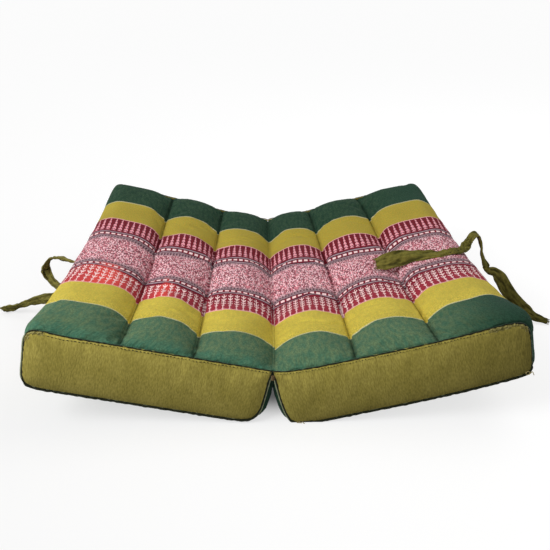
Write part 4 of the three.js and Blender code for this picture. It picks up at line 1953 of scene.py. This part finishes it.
@dataclass(frozen=True)
class Studio:
    """The floor, the lamps and the camera, in metres but for the eye, which is in mm."""

    eye: Triple = (-37.9, -1211.3, 666.6)
    yaw: float = math.radians(1.647)
    pitch: float = math.radians(25.05)
    roll: float = math.radians(0.348)
    lens: float = 42.157
    shift: Pair = (0.00853, -0.0028)
    key: Triple = (-1.35, -0.95, 1.25)
    key_power: float = 30
    fill: Triple = (1.3, 0.5, 2.3)
    fill_power: float = 15
    even: float = 0.34
    floor_reach: float = 26
    floor_tone: float = 0.34
    backdrop: float = 0.97
    # where the painted shadow under the hinge reaches, across and along the tubes, in metres
    hollow: tuple[Pair, Pair] = ((0.02, 0.11), (0.286, 0.352))
    hinge_shade: float = 0.58

    def camera(self) -> None:
        """Places the camera and makes it the scene's own."""
        level = math.cos(self.pitch)
        ahead = Vector((math.sin(self.yaw) * level, math.cos(self.yaw) * level, -math.sin(self.pitch)))
        right = Vector((math.cos(self.yaw), -math.sin(self.yaw), 0))
        up = right.cross(ahead)
        turned = right * math.cos(self.roll) + up * math.sin(self.roll)
        risen = up * math.cos(self.roll) - right * math.sin(self.roll)
        data = bpy.data.cameras.new("camera")
        data.lens, data.sensor_width = self.lens, 36
        data.shift_x, data.shift_y = self.shift
        data.clip_start, data.clip_end = 0.05, 60
        pose = Matrix((turned, risen, -ahead)).transposed().to_4x4()
        pose.translation = Vector(self.eye) * MM
        camera = linked("camera", data)
        camera.matrix_world = pose
        bpy.context.scene.camera = camera

    @staticmethod
    def lamp(name: str, place: Triple, size: float, power: float) -> None:
        """One square soft lamp aimed at the cushion.

        Args:
            name: its name.
            place: where it hangs, metres.
            size: its side, metres.
            power: its power, watts.
        """
        data = bpy.data.lights.new(name, "AREA")
        data.size, data.energy = size, power
        lamp = linked(name, data)
        lamp.location = place
        lamp.rotation_euler = (Vector((0, 0, 0.05)) - Vector(place)).to_track_quat("-Z", "Y").to_euler()

    def light(self) -> None:
        """Lamps and the world's even light, which the camera sees as white."""
        bpy.context.scene.view_settings.view_transform = "Standard"
        self.lamp("key", self.key, 1.1, self.key_power)
        self.lamp("fill", self.fill, 1.6, self.fill_power)
        world = bpy.data.worlds.new("studio")
        world.use_nodes = True
        kit = Kit(world.node_tree, "ShaderNode")
        even = kit.tree.nodes["Background"]
        kit.feed(even.inputs["Color"], (1, 1, 1, 1))
        kit.feed(even.inputs["Strength"], self.even)
        white = kit.value("Background", {"Color": (1, 1, 1, 1), "Strength": 1.0})
        blend = kit.value("MixShader", {0: self.seen(kit), 1: even.outputs[0], 2: white})
        kit.feed(kit.tree.nodes["World Output"].inputs["Surface"], blend)
        bpy.context.scene.world = world

    @staticmethod
    def seen(kit: Kit) -> Signal:
        """What the camera sees itself, or by reflection or through clear materials.

        Args:
            kit: calls on the tree that asks.

        Returns:
            1 on such rays, else 0.
        """
        path = kit.node("LightPath").outputs
        total = path["Is Camera Ray"]
        for label in ("Is Glossy Ray", "Is Transmission Ray"):
            total = kit.math("ADD", total, path[label], use_clamp=True)
        return total

    def evened(self, kit: Kit) -> Signal:
        """The floor's glow, which evens the key lamp's fall-off and is lowered in the hollow under the hinge
        as a painted shadow.

        Args:
            kit: calls on the floor's tree.

        Returns:
            The glow's strength.
        """
        place = kit.value("TexCoord", out="Object")
        away = kit.value("VectorMath", {0: place, 1: self.key}, "Value", operation="DISTANCE")
        lost = -self.floor_tone * self.key_power * self.key[2] / math.pi**2
        glow = kit.math("POWER", away, -3.0) * lost + (self.backdrop - self.floor_tone * self.even)
        # painted shadow: the glow is lowered under the hinge
        shade = self.hinge_shade
        for axis, (dark, light) in zip(kit.node("SeparateXYZ", {0: place}).outputs, self.hollow):
            feeds = {"Value": abs(Signal(kit, axis)), "From Min": dark, "From Max": light}
            feeds |= {"To Min": 1.0, "To Max": 0.0}
            shade = kit.value("MapRange", feeds, interpolation_type="SMOOTHSTEP") * shade
        return glow - shade

    def floor(self) -> None:
        """A plain pale floor that keeps the cushion's soft shadow."""
        far = self.floor_reach
        mesh = bpy.data.meshes.new("floor")
        corners = [(-far, -far, 0), (far, -far, 0), (far, far, 0), (-far, far, 0)]
        mesh.from_pydata(corners, [], [(0, 1, 2, 3)])
        material = bpy.data.materials.new("pale_floor")
        material.use_nodes = True
        kit = Kit(material.node_tree, "ShaderNode")
        dull = kit.tree.nodes["Principled BSDF"]
        kit.feed(dull.inputs["Base Color"], (0.4, 0.4, 0.4, 1))
        pale = kit.value("BsdfDiffuse", {"Color": (*[self.floor_tone] * 3, 1)})
        glow = kit.value("Emission", {"Strength": self.evened(kit)})
        both = kit.value("AddShader", {0: pale, 1: glow})
        blend = kit.value("MixShader", {0: self.seen(kit), 1: dull.outputs[0], 2: both})
        kit.feed(kit.tree.nodes["Material Output"].inputs["Surface"], blend)
        mesh.materials.append(material)
        linked("floor", mesh)


# ---- The whole cushion ----


def reported(thing: Thing, slot: str, *nodes: str) -> Thing:
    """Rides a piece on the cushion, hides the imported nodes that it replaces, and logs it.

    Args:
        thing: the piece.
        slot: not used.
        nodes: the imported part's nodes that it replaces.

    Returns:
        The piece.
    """
    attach(thing, BODY)
    if nodes:
        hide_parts(*nodes)
    log.info("%s: %d faces", thing.name, len(thing.data.polygons))
    return thing


def tie(half: Half, cover: Thing) -> None:
    """Builds a half's tie with its trims: the strap, the stitches along its edges and its frayed ends.

    Args:
        half: the half whose outer side it hangs from.
        cover: not used.
    """
    root = half.place(np.array([half.outer_side(0) - half.tie_inset, half.build.thickness / 2]), 0.0)
    if half.left:
        strap, free, held = Strap(half.side, half.shop, root, LEFT_ROWS), [CutEnd.FINISH], "hung"
    else:
        strap, free, held = Strap(half.side, half.shop, root, RIGHT_ROWS, OPEN_FOLD, KNOTS), CutEnd, "draped"
    cloth = reported(strap.cloth(), "tie_cloth", f"tie_{half.name}")
    trims = [reported(strap.hems(), "tie_cloth")]
    trims += [reported(strap.fray(end), "tie_cloth") for end in free]
    flat = (strap.full_width * MM, strap.length * MM)
    log.info("%s: %.0f mm long", cloth.name, strap.length)


def main() -> None:
    """Builds the cushion round its frame, piece by piece."""
    logging.basicConfig(level=logging.INFO, format="%(name)s %(message)s")
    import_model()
    studio = Studio()
    studio.camera()
    studio.light()
    studio.floor()
    shop = Workshop()
    for half in (Half(shop), RightHalf(shop)):
        cover = reported(half.cover(), "striped_cover", f"pad_{half.name}")
        for seam in half.seams:
            node = f"end_panel_{seam.end.label}_{half.name}"
            panel = reported(half.panel(seam.end), "panel_cloth", node)
            reported(half.welt(seam), "striped_cover")
        reported(half.stitches(), "panel_cloth")
        reported(half.channel_stitches(), "striped_cover")
        reported(half.seam_thread(), "striped_cover")
        reported(half.corner_folds(), "panel_cloth")
        if not half.left:
            reported(half.thread_ends(), "panel_cloth")
        tie(half, cover)
    hinge = Hinge(shop)
    ridge = reported(hinge.ridge(), "striped_cover", "hinge_seam")
    reported(hinge.bartack(), "panel_cloth")


if __name__ == "__main__":
    main()
